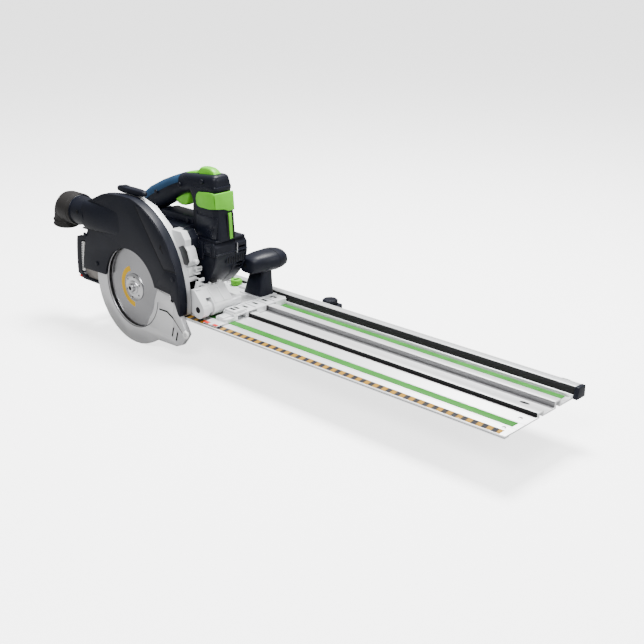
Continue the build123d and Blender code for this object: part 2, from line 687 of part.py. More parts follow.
# ---------------------------------------------------------------- saw unit: handle
HANDLE_Y0, HANDLE_Y1 = HANDLE_Y - HANDLE_HALF, HANDLE_Y + HANDLE_HALF
HANDLE_LINE = (
    (-64, FOOT_Z1 - 2),
    (-62, 137),
    (-53, 144),
    (-4, 176),
    (52, 198.5),
    (128, 207),
    (137, 190),
    (134.5, 180),
    (137, 167),
    (142, 113.5),
    (87, 113.5),
    (80, FOOT_Z1 - 2),
)
WINDOW_LINE = ((13, 139), (34, 152), (50, 164), (66, 171), (84, 172), (85.5, 150), (86, 139))
GRIP_LINE = ((-56, 143), (-4, 176), (52, 198.5), (53.4, 195.4), (-2.4, 172.6), (-53, 140.5))
TRIGGER_SLOT = (28, 74, 53.6, 70.4)
handle_face = make_face(Polyline(*HANDLE_LINE, close=True))
window_face = make_face(Polyline(*WINDOW_LINE, close=True))
handle_wall = offset(handle_face, amount=-3) - offset(window_face, amount=3)

for shell_name, shell_y0, shell_y1, foot_y0, foot_y1 in (
    ("handle_shell_near", HANDLE_Y0, HANDLE_Y, FOOT_Y0, HANDLE_Y),
    ("handle_shell_far", HANDLE_Y, HANDLE_Y1, HANDLE_Y, FOOT_Y1),
):
    hollow_y0 = max(shell_y0, HANDLE_Y0 + 3)
    hollow_y1 = min(shell_y1, HANDLE_Y1 - 3)
    with BuildPart() as handle_shell:
        with BuildSketch(side(shell_y0)):
            add(handle_face)
        extrude(amount=-(shell_y1 - shell_y0))
        with BuildSketch(Plane.XY.offset(FOOT_Z0)):
            with Locations(((FOOT_X0 + FOOT_X1) / 2, (foot_y0 + foot_y1) / 2)):
                Rectangle(FOOT_X1 - FOOT_X0, foot_y1 - foot_y0)
        extrude(amount=FOOT_Z1 - FOOT_Z0)
        with BuildSketch(side(shell_y0)):
            add(window_face)
        extrude(amount=-(shell_y1 - shell_y0), mode=Mode.SUBTRACT)
        with BuildSketch(side(hollow_y0)):
            add(handle_wall)
        extrude(amount=-(hollow_y1 - hollow_y0), mode=Mode.SUBTRACT)
        side_slab(GRIP_LINE, HANDLE_Y0 + 2, HANDLE_Y1 - 2, Mode.SUBTRACT)
        with BuildSketch(Plane.XY.offset(140)):
            with Locations(((TRIGGER_SLOT[0] + TRIGGER_SLOT[1]) / 2, HANDLE_Y)):
                Rectangle(TRIGGER_SLOT[1] - TRIGGER_SLOT[0], TRIGGER_SLOT[3] - TRIGGER_SLOT[2])
        extrude(amount=40, mode=Mode.SUBTRACT)
        with BuildSketch(Plane.XY.offset(190)):
            with Locations((93.5, HANDLE_Y)):
                Rectangle(64, 12.6)
        extrude(amount=30, mode=Mode.SUBTRACT)
        for rail_z0, rail_half in ((FOOT_Z0, 16.4), (115.2, 20.4)):
            with BuildSketch(Plane.XY.offset(rail_z0)):
                with Locations(((FOOT_X0 - 14) / 2, HANDLE_Y)):
                    Rectangle(-14 - FOOT_X0, 2 * rail_half)
            extrude(amount=119.4 - rail_z0, mode=Mode.SUBTRACT)
    finish(handle_shell, shell_name)

with BuildPart() as soft_grip:
    side_slab(GRIP_LINE, HANDLE_Y0 + 2, HANDLE_Y1 - 2)
finish(soft_grip, "soft_grip")

bar_box("trigger_switch", (74.6, 100), (55, 69), (176, 190))
bar_box("control_board", (90, 92), (50, 74), (120, 165))
with BuildPart() as battery_terminals:
    for blade_y in (52, 57, 67, 72):
        with BuildSketch(side(blade_y)):
            with Locations((-19, 117)):
                Rectangle(10, 3)
        extrude(amount=-1)
finish(battery_terminals, "battery_terminals")

# ---------------------------------------------------------------- saw unit: fittings
with BuildPart() as bearings:
    for bear_x, bear_z, outer, inner, bear_y in (
        (0, HUB_Z, 11, 7, 4),
        (0, HUB_Z, 11, 7, 33.4),
        (LAY_X, LAY_Z, 9, 5, 32.4),
        (MOTOR_X, MOTOR_Z, 13, 5, 34),
        (MOTOR_X, MOTOR_Z, 8, 4, MOTOR_Y1 - 6),
    ):
        side_ring(outer, inner + RUNNING_FIT, bear_x, bear_z, bear_y, bear_y + (3 if bear_y > 90 else 4.4))
finish(bearings, "shaft_bearings")

SCREW_SPOTS = ((-44, 139), (4, 164), (60, 184), (110, 196), (130, 130), (74, 132))
COVER_SCREWS = ((-108, 88), (-82, 46), (104, 62))
with BuildPart() as housing_screws:
    for screw_x, screw_z in SCREW_SPOTS:
        side_ring(3.4, 0, screw_x, screw_z, HANDLE_Y0 - 1.6, HANDLE_Y0)
        side_ring(1.8, 0, screw_x, screw_z, HANDLE_Y0, HANDLE_Y0 + 3)
    for screw_x, screw_z in COVER_SCREWS:
        side_ring(3.4, 0, screw_x, screw_z, COVER_Y0 - 1.6, COVER_Y0)
        side_ring(1.8, 0, screw_x, screw_z, COVER_Y0, COVER_Y0 + 2)
finish(housing_screws, "housing_screws")

with BuildPart() as depth_pointer:
    side_slab(((-95, 84), (-95, 90), (-128, 88), (-152, 86.5), (-152, 84)), 13, 15)
finish(depth_pointer, "depth_pointer")

with BuildPart() as top_lever:
    with BuildSketch(Plane.XY.offset(165.8)):
        with Locations((-6, 7)):
            Circle(6)
    extrude(amount=2)
    with BuildSketch(Plane.XY.offset(167)):
        with BuildLine():
            Polyline((-40, 4), (-26, -1), (16, -1), (30, 5), (30, 10), (16, 14), (-26, 14), (-40, 9), close=True)
        make_face()
    extrude(amount=8)
    chamfer(top_lever.faces().sort_by(Axis.Z)[-1].edges(), length=1.5)
finish(top_lever, "depth_lock_lever")

# ---------------------------------------------------------------- blade spindle
with BuildPart() as saw_blade:
    with BuildSketch(side(BLADE_Y - BLADE_T / 2)):
        with BuildLine():
            Polyline(*gear_points(BLADE_R, 7, 24, 0, HUB_Z), close=True)
        make_face()
        with Locations((0, HUB_Z)):
            Circle(ARBOR_R, mode=Mode.SUBTRACT)
    extrude(amount=-BLADE_T)
finish(saw_blade, "saw_blade")

INNER_FACE_Y = BLADE_Y + BLADE_T / 2
OUTER_FACE_Y = BLADE_Y - BLADE_T / 2
with BuildPart() as inner_flange:
    side_ring(16.5, 7, 0, HUB_Z, INNER_FACE_Y, 2.4)
    side_ring(ARBOR_R, 7, 0, HUB_Z, OUTER_FACE_Y + 0.1, INNER_FACE_Y)
finish(inner_flange, "inner_flange")
with BuildPart() as outer_flange:
    side_ring(21, 4, 0, HUB_Z, OUTER_FACE_Y - 3, OUTER_FACE_Y)
finish(outer_flange, "outer_flange")
with BuildPart() as blade_bolt:
    with BuildSketch(side(OUTER_FACE_Y - 9)):
        with Locations((0, HUB_Z)):
            RegularPolygon(8, 6)
            Circle(3.4, mode=Mode.SUBTRACT)
    extrude(amount=-6)
    side_ring(8, 0, 0, HUB_Z, OUTER_FACE_Y - 4, OUTER_FACE_Y - 3)
    side_ring(4, 0, 0, HUB_Z, OUTER_FACE_Y - 3, 12)
finish(blade_bolt, "blade_bolt")
with BuildPart() as output_spindle:
    side_ring(7, 4, 0, HUB_Z, OUTER_FACE_Y + 0.1, 12)
    side_ring(7, 0, 0, HUB_Z, 12, 37.8)
    side_slab(gear_points(DRIVEN_R, 2, 35, 0, HUB_Z), 15, 22)
finish(output_spindle, "output_spindle")

with BuildPart() as layshaft:
    side_ring(5, 0, LAY_X, LAY_Z, 13.8, 36.8)
    side_slab(gear_points(LAY_PINION_R, 2, 22, LAY_X, LAY_Z), 15, 22)
    side_slab(gear_points(LAY_GEAR_R, 2, 40, LAY_X, LAY_Z), 24, 31)
finish(layshaft, "layshaft")

with BuildPart() as rotor:
    side_ring(5, 0, MOTOR_X, MOTOR_Z, 22, 46)
    side_ring(20, 0, MOTOR_X, MOTOR_Z, 46, 82)
    side_ring(4, 0, MOTOR_X, MOTOR_Z, 82, MOTOR_Y1 - 3.2)
    side_slab(gear_points(MOTOR_PINION_R, 2, 18, MOTOR_X, MOTOR_Z), 24, 31)
finish(rotor, "motor_rotor")

with BuildPart() as fan:
    side_ring(12, 4, MOTOR_X, MOTOR_Z, 84, 91)
    side_ring(33, 11, MOTOR_X, MOTOR_Z, 84, 85.5)
    with BuildSketch(side(85)):
        with Locations((MOTOR_X, MOTOR_Z)):
            with PolarLocations(21, 11):
                Rectangle(20, 1.6)
    extrude(amount=-6)
finish(fan, "cooling_fan")

# ---------------------------------------------------------------- lower guard
NOSE_LINE = (
    (53, -44.5),
    (100, -43),
    (112, -38),
    (123, -24.5),
    (127, -18),
    (102, 25),
    (95, 28),
    (92.5, 34.5),
    (62.5, 38.4),
    (48, 5),
    (30, -30),
)


def guard_band(inner, start, end, steps=24):
    """Points of an annular sector of the guard between two angles."""
    outside = [polar(GUARD_R, start + (end - start) * k / steps, 0, HUB_Z) for k in range(steps + 1)]
    inside = [polar(inner, start + (end - start) * k / steps, 0, HUB_Z) for k in range(steps + 1)]
    return outside + inside[::-1]


with BuildPart() as lower_guard:
    side_slab(guard_band(GUARD_OPEN_R, 125, 330), GUARD_Y0, GUARD_Y0 + 2)
    side_slab(NOSE_LINE, GUARD_Y0, GUARD_Y0 + 2)
    side_slab(guard_band(83, 125, 312), GUARD_Y0 + 2, GUARD_Y1)
    side_slab(NOSE_LINE, GUARD_Y0 + 2, GUARD_Y1)
    with BuildSketch(side(GUARD_Y0 + 2)):
        with Locations((0, HUB_Z)):
            Circle(83)
    extrude(amount=-(GUARD_Y1 - GUARD_Y0 - 2), mode=Mode.SUBTRACT)
    with BuildSketch(side(GUARD_Y0)):
        with Locations((0, HUB_Z)):
            Circle(GUARD_OPEN_R - 7)
    extrude(amount=-2, mode=Mode.SUBTRACT)
    side_slab(guard_band(83, 125, 188), GUARD_Y1, 5)
    side_slab(guard_band(18, 125, 188), 3.2, 5)
    side_ring(NECK_RING_R, NECK_R + RUNNING_FIT, 0, HUB_Z, 3.2, 8.6)
    with BuildSketch(side(3.2)):
        with Locations((0, HUB_Z)):
            Circle(NECK_R + RUNNING_FIT)
    extrude(amount=-2, mode=Mode.SUBTRACT)
    for slot_a, slot_b in (((94.6, -15.2), (90.6, -29.3)), ((103.6, -20.8), (99.6, -33.9))):
        with BuildSketch(side(GUARD_Y0)):
            with Locations(((slot_a[0] + slot_b[0]) / 2, (slot_a[1] + slot_b[1]) / 2)):
                SlotOverall(17, 2.6, rotation=74)
        extrude(amount=-3, mode=Mode.SUBTRACT)
    side_ring(2.5, 0, 125, -18, GUARD_Y0 - 4, GUARD_Y0)
finish(lower_guard, "lower_guard")

with BuildPart() as guard_wheel:
    side_ring(6, 2.55, 125, -18, GUARD_Y0 - 3.8, GUARD_Y0 - 0.3)
finish(guard_wheel, "guard_wheel")

# ---------------------------------------------------------------- dust port
SPOUT_TOP = (-172.0, TUBE_Z)
SPOUT_END = (-176.6, 90.0)
spout_plane = Plane(
    origin=(SPOUT_TOP[0], 0, SPOUT_TOP[1]),
    x_dir=(0, 1, 0),
    z_dir=(SPOUT_END[0] - SPOUT_TOP[0], 0, SPOUT_END[1] - SPOUT_TOP[1]),
)
SPOUT_LENGTH = 32.0
with BuildPart() as dust_port:
    with BuildSketch(across(-172)):
        with Locations((0, TUBE_Z)):
            Circle(25)
    extrude(amount=40)
    with Locations((-172, 0, TUBE_Z)):
        Sphere(25)
    with BuildSketch(spout_plane):
        Circle(19)
    extrude(amount=SPOUT_LENGTH)
    with BuildSketch(across(-160)):
        with Locations((0, TUBE_Z)):
            Circle(TUBE_R + 0.1)
    extrude(amount=30, mode=Mode.SUBTRACT)
    with BuildSketch(across(-172)):
        with Locations((0, TUBE_Z)):
            Circle(20)
    extrude(amount=30, mode=Mode.SUBTRACT)
    with Locations((-172, 0, TUBE_Z)):
        Sphere(20, mode=Mode.SUBTRACT)
    with BuildSketch(spout_plane):
        Circle(16.5)
    extrude(amount=SPOUT_LENGTH + 5, mode=Mode.SUBTRACT)
finish(dust_port, "dust_port")

# ---------------------------------------------------------------- battery
with BuildPart() as battery_pack:
    with BuildSketch(Plane.XY.offset(BATTERY_Z0)):
        with Locations(((BATTERY_X0 + BATTERY_X1) / 2, HANDLE_Y)):
            RectangleRounded(BATTERY_X1 - BATTERY_X0, 70, 6)
    extrude(amount=BATTERY_Z1 - BATTERY_Z0)
    for rail_z0, rail_half in ((BATTERY_Z1, 16), (115.5, 20)):
        with BuildSketch(Plane.XY.offset(rail_z0)):
            with Locations((-58, HANDLE_Y)):
                Rectangle(68, 2 * rail_half)
        extrude(amount=(119.1 if rail_half > 17 else 115.5) - rail_z0)
    with BuildSketch(Plane.XY.offset(BATTERY_Z1 - 14)):
        with Locations((BATTERY_X0 + 2, HANDLE_Y)):
            Rectangle(14, 30.4)
    extrude(amount=8, mode=Mode.SUBTRACT)
finish(battery_pack, "battery_pack")
bar_box("battery_latch", (BATTERY_X0 - 2, BATTERY_X0 + 5.5), (47.2, 76.8), (99.4, 106.6))

# ---------------------------------------------------------------- hand controls
with BuildPart() as trigger:
    side_slab(((33, 156), (37, 144), (58, 142), (65, 150), (70, 172), (69, 183), (60, 183), (42, 167)), 54, 70)
    with BuildSketch(side(54)):
        with Locations((64.5, 178)):
            Circle(2.05)
    extrude(amount=-16, mode=Mode.SUBTRACT)
finish(trigger, "trigger")
with BuildPart() as trigger_pin:
    side_ring(2, 0, 64.5, 178, HANDLE_Y0 + 3, HANDLE_Y1 - 3)
finish(trigger_pin, "trigger_pin")

with BuildPart() as lock_button:
    side_slab(((63, 200.5), (88, 206), (93, 213), (112, 214.5), (124, 210), (124, 201), (66, 196)), 56, 68)
finish(lock_button, "lock_button")

with BuildPart() as lever:
    side_slab(((97, 154), (100, 181), (134, 186), (139, 181), (140, 168), (141, 150), (110, 150)), 41, 43.7)
    side_slab(((139.2, 150), (137.4, 167), (136, 180), (137.4, 182), (139.5, 182), (141, 168), (142.6, 150)), 41, 77)
    side_ring(2.2, 0, 130, 182, 40.2, 41)
finish(lever, "release_lever")
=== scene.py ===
"""Looks for the rail-guided cordless saw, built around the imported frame.

Pieces are drawn in millimetres and scaled to metres; lamps and camera are placed in metres.
"""

import json
import math

import bmesh
import bpy
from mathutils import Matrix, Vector

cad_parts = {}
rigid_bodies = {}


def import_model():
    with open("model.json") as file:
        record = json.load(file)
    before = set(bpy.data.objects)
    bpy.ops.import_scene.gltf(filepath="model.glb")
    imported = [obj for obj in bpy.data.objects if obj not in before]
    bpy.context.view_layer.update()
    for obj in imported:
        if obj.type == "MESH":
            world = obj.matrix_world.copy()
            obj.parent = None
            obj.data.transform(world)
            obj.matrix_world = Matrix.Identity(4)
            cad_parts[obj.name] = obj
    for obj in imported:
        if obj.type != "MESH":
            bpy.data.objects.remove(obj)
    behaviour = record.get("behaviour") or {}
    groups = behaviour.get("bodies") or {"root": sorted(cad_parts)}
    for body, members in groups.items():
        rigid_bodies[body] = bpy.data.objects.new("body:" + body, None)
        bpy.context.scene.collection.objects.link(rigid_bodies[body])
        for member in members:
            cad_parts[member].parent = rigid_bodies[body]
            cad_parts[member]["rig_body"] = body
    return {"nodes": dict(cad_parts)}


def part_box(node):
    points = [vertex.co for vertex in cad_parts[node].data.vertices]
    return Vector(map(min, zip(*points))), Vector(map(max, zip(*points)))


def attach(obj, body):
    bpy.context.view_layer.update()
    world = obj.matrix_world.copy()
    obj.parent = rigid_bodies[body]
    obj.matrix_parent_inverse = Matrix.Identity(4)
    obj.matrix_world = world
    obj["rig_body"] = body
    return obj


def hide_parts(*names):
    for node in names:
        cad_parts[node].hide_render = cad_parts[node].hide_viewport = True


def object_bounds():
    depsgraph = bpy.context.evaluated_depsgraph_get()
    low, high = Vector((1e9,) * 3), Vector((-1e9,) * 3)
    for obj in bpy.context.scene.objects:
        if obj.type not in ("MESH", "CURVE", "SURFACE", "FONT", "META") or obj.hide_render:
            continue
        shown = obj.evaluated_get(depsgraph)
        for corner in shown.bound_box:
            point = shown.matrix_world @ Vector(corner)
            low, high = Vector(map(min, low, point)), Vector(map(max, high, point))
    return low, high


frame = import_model()
cad_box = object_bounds()

MM = 0.001
BLADE_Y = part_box("saw_blade")[0].y / MM
HUB_Z = (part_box("saw_blade")[0].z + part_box("saw_blade")[1].z) / 2 / MM
FLOOR_Z = cad_box[0][2]
RAIL_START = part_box("rail_profile")[0].x / MM
RAIL_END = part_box("rail_profile")[1].x / MM
FENCE_Y0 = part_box("fence_profile")[0].y / MM

# Places in millimetres, in the frame's own axes.
RAIL_TOP = 3.0
BASE_SEAT = 13.9  # just under the base's top, so that fittings sit in it
PIVOT_X, PIVOT_Z = 138, 20  # pin at the front that the saw unit swings about
SCALE_RADIUS = 281.4  # arc of the depth marks about the pivot
STOP_X, STOP_Y = 235, 177  # angle stop knob
TUBE_Z = 121.0  # axis of the dust tube
SPOUT_X, SPOUT_Z = -176.6, 89.9  # open end of the dust elbow
GUARD_FACE = -8.0  # flat near side of the swinging guard
COVER_FACE = -12.0  # flat near side of the blade cover
HOUSING_SEAT = 13.0  # where bolts and ribs start on the blade housing's far side
GRIP_Y = 62  # middle plane of the handle
TOOTH_COUNT = 24

# Stretch of the noise that makes brushing run along the rail.
BRUSHED_ALONG_X = (0.03, 1, 1)


# ---------------------------------------------------------------- materials
def new_material(name, color, rough=0.5, metallic=0.0, specular=0.5):
    """A principled material with its constants on the shader's own sockets."""
    material = bpy.data.materials.new(name)
    material.use_nodes = True
    shader = material.node_tree.nodes["Principled BSDF"]
    shader.inputs["Base Color"].default_value = (*color, 1.0)
    shader.inputs["Roughness"].default_value = rough
    shader.inputs["Metallic"].default_value = metallic
    shader.inputs["Specular IOR Level"].default_value = specular
    return material


def add_node(material, kind, **values):
    """Add a shader node and set its plain attributes."""
    node = material.node_tree.nodes.new(kind)
    for key, value in values.items():
        setattr(node, key, value)
    return node


def object_coordinates(material, stretch=(1, 1, 1)):
    """Object coordinates through a mapping, as an output socket."""
    links = material.node_tree.links
    source = add_node(material, "ShaderNodeTexCoord")
    mapping = add_node(material, "ShaderNodeMapping")
    mapping.inputs["Scale"].default_value = stretch
    links.new(source.outputs["Object"], mapping.inputs["Vector"])
    return mapping.outputs["Vector"]


def noise(material, scale, detail=3.0, stretch=(1, 1, 1)):
    """Noise in object space, as an output socket."""
    node = add_node(material, "ShaderNodeTexNoise")
    node.inputs["Scale"].default_value = scale
    node.inputs["Detail"].default_value = detail
    material.node_tree.links.new(object_coordinates(material, stretch), node.inputs["Vector"])
    return node.outputs["Fac"]


def grain(material, scale, strength, distance=0.0002, stretch=(1, 1, 1)):
    """Fine bump from noise."""
    links = material.node_tree.links
    bump = add_node(material, "ShaderNodeBump")
    bump.inputs["Strength"].default_value = strength
    bump.inputs["Distance"].default_value = distance
    links.new(noise(material, scale, 4.0, stretch), bump.inputs["Height"])
    links.new(bump.outputs["Normal"], material.node_tree.nodes["Principled BSDF"].inputs["Normal"])


def vary_roughness(material, scale, low, high, stretch=(1, 1, 1)):
    """Drive roughness from broad noise between two values."""
    links = material.node_tree.links
    shader = material.node_tree.nodes["Principled BSDF"]
    spread = add_node(material, "ShaderNodeMapRange")
    spread.inputs["To Min"].default_value = low
    spread.inputs["To Max"].default_value = high
    links.new(noise(material, scale, 3.0, stretch), spread.inputs["Value"])
    links.new(spread.outputs["Result"], shader.inputs["Roughness"])


def tint(material, scale, dark, light, stretch=(1, 1, 1)):
    """Mix two close colours by noise, for wear and handling marks."""
    links = material.node_tree.links
    ramp = add_node(material, "ShaderNodeValToRGB")
    ramp.color_ramp.elements[0].position = 0.35
    ramp.color_ramp.elements[0].color = (*dark, 1)
    ramp.color_ramp.elements[1].position = 0.65
    ramp.color_ramp.elements[1].color = (*light, 1)
    links.new(noise(material, scale, 4.0, stretch), ramp.inputs["Fac"])
    links.new(ramp.outputs["Color"], material.node_tree.nodes["Principled BSDF"].inputs["Base Color"])


def plastic(name, color, rough, grain_scale=1400, grain_strength=0.25):
    """Moulded plastic with a fine spark texture."""
    material = new_material(name, color, rough, 0.0, 0.2)
    grain(material, grain_scale, grain_strength, 0.00008)
    vary_roughness(material, 22, rough - 0.06, rough + 0.08)
    tint(material, 30, tuple(c * 0.88 for c in color), tuple(min(1, c * 1.12) for c in color))
    return material


def metal(name, color, rough, metallic=1.0, stretch=(1, 1, 1), strength=0.1, scale=500):
    """Metal with a directional or even surface finish."""
    material = new_material(name, color, rough, metallic)
    grain(material, scale, strength, 0.00006, stretch)
    vary_roughness(material, 40, rough - 0.07, rough + 0.07, stretch)
    tint(material, 18, tuple(c * 0.93 for c in color), color, stretch)
    return material


def turned_metal(name, color, rough, center):
    """Ground disc: brushing runs in circles about an axis along Y."""
    material = new_material(name, color, rough, 1.0)
    links = material.node_tree.links
    shader = material.node_tree.nodes["Principled BSDF"]
    shader.inputs["Anisotropic"].default_value = 0.85
    tangent = add_node(material, "ShaderNodeTangent", direction_type="RADIAL", axis="Y")
    source = add_node(material, "ShaderNodeTexCoord")
    shift = add_node(material, "ShaderNodeVectorMath", operation="SUBTRACT")
    shift.inputs[1].default_value = center
    length = add_node(material, "ShaderNodeVectorMath", operation="LENGTH")
    rings = add_node(material, "ShaderNodeTexNoise", noise_dimensions="1D")
    rings.inputs["Scale"].default_value = 1500
    bump = add_node(material, "ShaderNodeBump")
    bump.inputs["Strength"].default_value = 0.12
    bump.inputs["Distance"].default_value = 0.00004
    links.new(source.outputs["Object"], shift.inputs[0])
    links.new(shift.outputs["Vector"], length.inputs[0])
    links.new(length.outputs["Value"], rings.inputs["W"])
    links.new(rings.outputs["Fac"], bump.inputs["Height"])
    links.new(bump.outputs["Normal"], shader.inputs["Normal"])
    links.new(tangent.outputs["Tangent"], shader.inputs["Tangent"])
    return material


def striped(name, first, second, pitch, slant):
    """Printed warning stripes that run slanted along X."""
    material = new_material(name, first, 0.4)
    links = material.node_tree.links
    source = add_node(material, "ShaderNodeTexCoord")
    split = add_node(material, "ShaderNodeSeparateXYZ")
    lean = add_node(material, "ShaderNodeMath", operation="MULTIPLY_ADD")
    lean.inputs[1].default_value = slant
    phase = add_node(material, "ShaderNodeMath", operation="DIVIDE")
    phase.inputs[1].default_value = pitch
    part = add_node(material, "ShaderNodeMath", operation="FRACT")
    step = add_node(material, "ShaderNodeMath", operation="GREATER_THAN")
    step.inputs[1].default_value = 0.5
    mix = add_node(material, "ShaderNodeMix", data_type="RGBA")
    mix.inputs["A"].default_value = (*first, 1)
    mix.inputs["B"].default_value = (*second, 1)
    links.new(source.outputs["Object"], split.inputs["Vector"])
    links.new(split.outputs["Y"], lean.inputs[0])
    links.new(split.outputs["X"], lean.inputs[2])
    links.new(lean.outputs["Value"], phase.inputs[0])
    links.new(phase.outputs["Value"], part.inputs[0])
    links.new(part.outputs["Value"], step.inputs[0])
    links.new(step.outputs["Value"], mix.inputs["Factor"])
    links.new(mix.outputs["Result"], material.node_tree.nodes["Principled BSDF"].inputs["Base Color"])
    grain(material, 900, 0.08, 0.00004)
    return material


NAVY = plastic("navy plastic", (0.0036, 0.0046, 0.0096), 0.42)
NAVY_GLOSS = plastic("smooth navy plastic", (0.005, 0.0062, 0.0115), 0.27, 900, 0.08)
CHARCOAL = plastic("charcoal plastic", (0.016, 0.0148, 0.0145), 0.48)
GREEN = plastic("green plastic", (0.115, 0.46, 0.022), 0.38, 900, 0.12)
BLUE_RUBBER = plastic("blue soft grip", (0.010, 0.036, 0.080), 0.55, 1800, 0.35)
BLACK_RUBBER = plastic("black rubber", (0.006, 0.006, 0.0065), 0.6, 1600, 0.3)
GREEN_STRIP = plastic("green glide strip", (0.02, 0.16, 0.014), 0.5, 1500, 0.3)
CASTING = metal("light casting", (0.66, 0.67, 0.68), 0.42, 0.25, strength=0.22, scale=700)
GROOVE_SHADE_GREY = metal("painted groove shade grey", (0.50, 0.50, 0.51), 0.45, 0.5, strength=0.25, scale=700)
GUARD_METAL = metal("satin guard metal", (0.66, 0.66, 0.67), 0.34, 0.6, strength=0.12, scale=900)
ANODISED = metal("anodised rail", (0.84, 0.845, 0.85), 0.36, 0.55, BRUSHED_ALONG_X, 0.18, 900)
FENCE_METAL = metal("fence metal", (0.74, 0.75, 0.76), 0.36, 0.6, BRUSHED_ALONG_X, 0.18, 900)
STEEL = metal("steel", (0.58, 0.58, 0.59), 0.3, 1.0)
# Dark steel for real parts, also used as painted shade on the guard's lip.
DARK_STEEL_AND_LIP_SHADE = metal("dark steel and painted lip shade", (0.12, 0.12, 0.125), 0.38, 0.9)
BRACKET_PLATE = metal("bracket plate", (0.30, 0.28, 0.26), 0.45, 0.6)
BLADE_STEEL = turned_metal("ground blade steel", (0.36, 0.36, 0.37), 0.26, (0, 0, HUB_Z * MM))
FLANGE_STEEL = turned_metal("turned flange", (0.66, 0.66, 0.67), 0.2, (0, 0, HUB_Z * MM))
# Painted shade: dark grey laid on the rail where shade falls.
RAIL_PAINTED_SHADE = metal("painted rail shade", (0.17, 0.17, 0.175), 0.45, 0.6, BRUSHED_ALONG_X, 0.18, 900)
CARBIDE = metal("carbide", (0.42, 0.42, 0.44), 0.35)
COPPER = metal("copper winding", (0.62, 0.28, 0.12), 0.35)
# Near-black used for painted shade in holes, slots, sockets and gaps that are not cut into the mesh, and
# also for real dark seams and printed marks.
SHADE_SEAM_PRINT_BLACK = plastic("painted recess shade, seams and print", (0.004, 0.004, 0.005), 0.7)
WHITE_PRINT = plastic("white print", (0.75, 0.75, 0.74), 0.45)
YELLOW_PRINT = plastic("yellow print", (0.60, 0.35, 0.001), 0.4)
RED_PRINT = plastic("red marker", (0.52, 0.012, 0.006), 0.4)
BOARD_GREEN = plastic("board laminate", (0.02, 0.12, 0.05), 0.4)
SPLINTER = plastic("splinter lip", (0.55, 0.56, 0.57), 0.35)
HAZARD = striped("warning stripes", (0.30, 0.15, 0.002), (0.005, 0.006, 0.012), 0.0142, 0.2)


# ---------------------------------------------------------------- mesh helpers
def soften(piece, width, segments=3, angle=28):
    """Round the sharp edges of a finished mesh and shade it smooth between its flats."""
    bpy.context.view_layer.objects.active = piece
    if width:
        bevel = piece.modifiers.new("edges", "BEVEL")
        bevel.width = width * MM
        bevel.segments = segments
        bevel.limit_method = "ANGLE"
        bevel.angle_limit = math.radians(angle)
        bevel.use_clamp_overlap = True
        bevel.miter_outer = "MITER_ARC"
        graph = bpy.context.evaluated_depsgraph_get()
        shaped = bpy.data.meshes.new_from_object(piece.evaluated_get(graph))
        piece.modifiers.clear()
        piece.data = shaped
    piece.data.polygons.foreach_set("use_smooth", [True] * len(piece.data.polygons))
    piece.data.set_sharp_from_angle(angle=math.radians(35))


def place(mesh, name, material, body, width=0.0, segments=3, angle=28):
    """Turn a mesh into a shown piece that rides on a body."""
    piece = bpy.data.objects.new(name, mesh)
    bpy.context.scene.collection.objects.link(piece)
    soften(piece, width, segments, angle)
    piece.data.materials.clear()
    piece.data.materials.append(material)
    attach(piece, body)
    return piece


def skin(node, material, width=0.8, segments=3, angle=28):
    """A softened copy of a CAD node that stands for it."""
    source = frame["nodes"][node]
    name = node + "_skin"
    work = bmesh.new()
    work.from_mesh(source.data)
    bmesh.ops.remove_doubles(work, verts=work.verts, dist=2e-6)
    bmesh.ops.dissolve_limit(work, angle_limit=math.radians(0.6), verts=work.verts, edges=work.edges)
    mesh = bpy.data.meshes.new(name)
    work.to_mesh(mesh)
    work.free()
    mesh.materials.clear()
    piece = place(mesh, name, material, source["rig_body"], width, segments, angle)
    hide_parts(node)
    return piece


def build(rings):
    """Mesh from equal-length rings of points in millimetres, with flat ends."""
    count = len(rings[0])
    points = [tuple(c * MM for c in point) for ring in rings for point in ring]
    faces = []
    for row in range(len(rings) - 1):
        for k in range(count):
            a, b = row * count + k, row * count + (k + 1) % count
            faces.append((a, b, b + count, a + count))
    faces.append(tuple(range(count))[::-1])
    faces.append(tuple((len(rings) - 1) * count + k for k in range(count)))
    mesh = bpy.data.meshes.new("shape")
    mesh.from_pydata(points, [], faces)
    work = bmesh.new()
    work.from_mesh(mesh)
    bmesh.ops.recalc_face_normals(work, faces=work.faces)
    work.to_mesh(mesh)
    work.free()
    return mesh


def slab(points, y0, y1):
    """Flat slab with an XZ outline."""
    return build([[(x, y0, z) for x, z in points], [(x, y1, z) for x, z in points]])


def plate(points, z0, z1):
    """Flat slab with an XY outline."""
    return build([[(x, y, z0) for x, y in points], [(x, y, z1) for x, y in points]])


def circle(x, z, radius, steps=48, start=0.0, end=360.0):
    """Points on a circle or arc in XZ."""
    count = steps if end - start >= 360 else steps + 1
    return [
        (x + radius * math.cos(math.radians(start + (end - start) * k / steps)),
         z + radius * math.sin(math.radians(start + (end - start) * k / steps)))
        for k in range(count)
    ]


def band(x, z, inner, outer, start, end):
    """Closed outline of an arc band in XZ."""
    return circle(x, z, outer, 48, start, end) + circle(x, z, inner, 48, start, end)[::-1]


def about_hub(radius, degrees):
    """XZ point at a radius and angle about the blade axis."""
    angle = math.radians(degrees)
    return (radius * math.cos(angle), HUB_Z + radius * math.sin(angle))


def box(x, y, z):
    """Box between pairs of limits."""
    return plate([(x[0], y[0]), (x[1], y[0]), (x[1], y[1]), (x[0], y[1])], z[0], z[1])


def turned(profile, axis_point, axis, steps=48):
    """Solid of revolution: profile is (distance along the axis, radius)."""
    direction = Vector(axis).normalized()
    side = direction.orthogonal().normalized()
    other = direction.cross(side)
    rings = []
    for distance, radius in profile:
        center = Vector(axis_point) + direction * distance
        rings.append([
            tuple(center + (side * math.cos(2 * math.pi * k / steps)
                            + other * math.sin(2 * math.pi * k / steps)) * max(radius, 0.02))
            for k in range(steps)
        ])
    return build(rings)


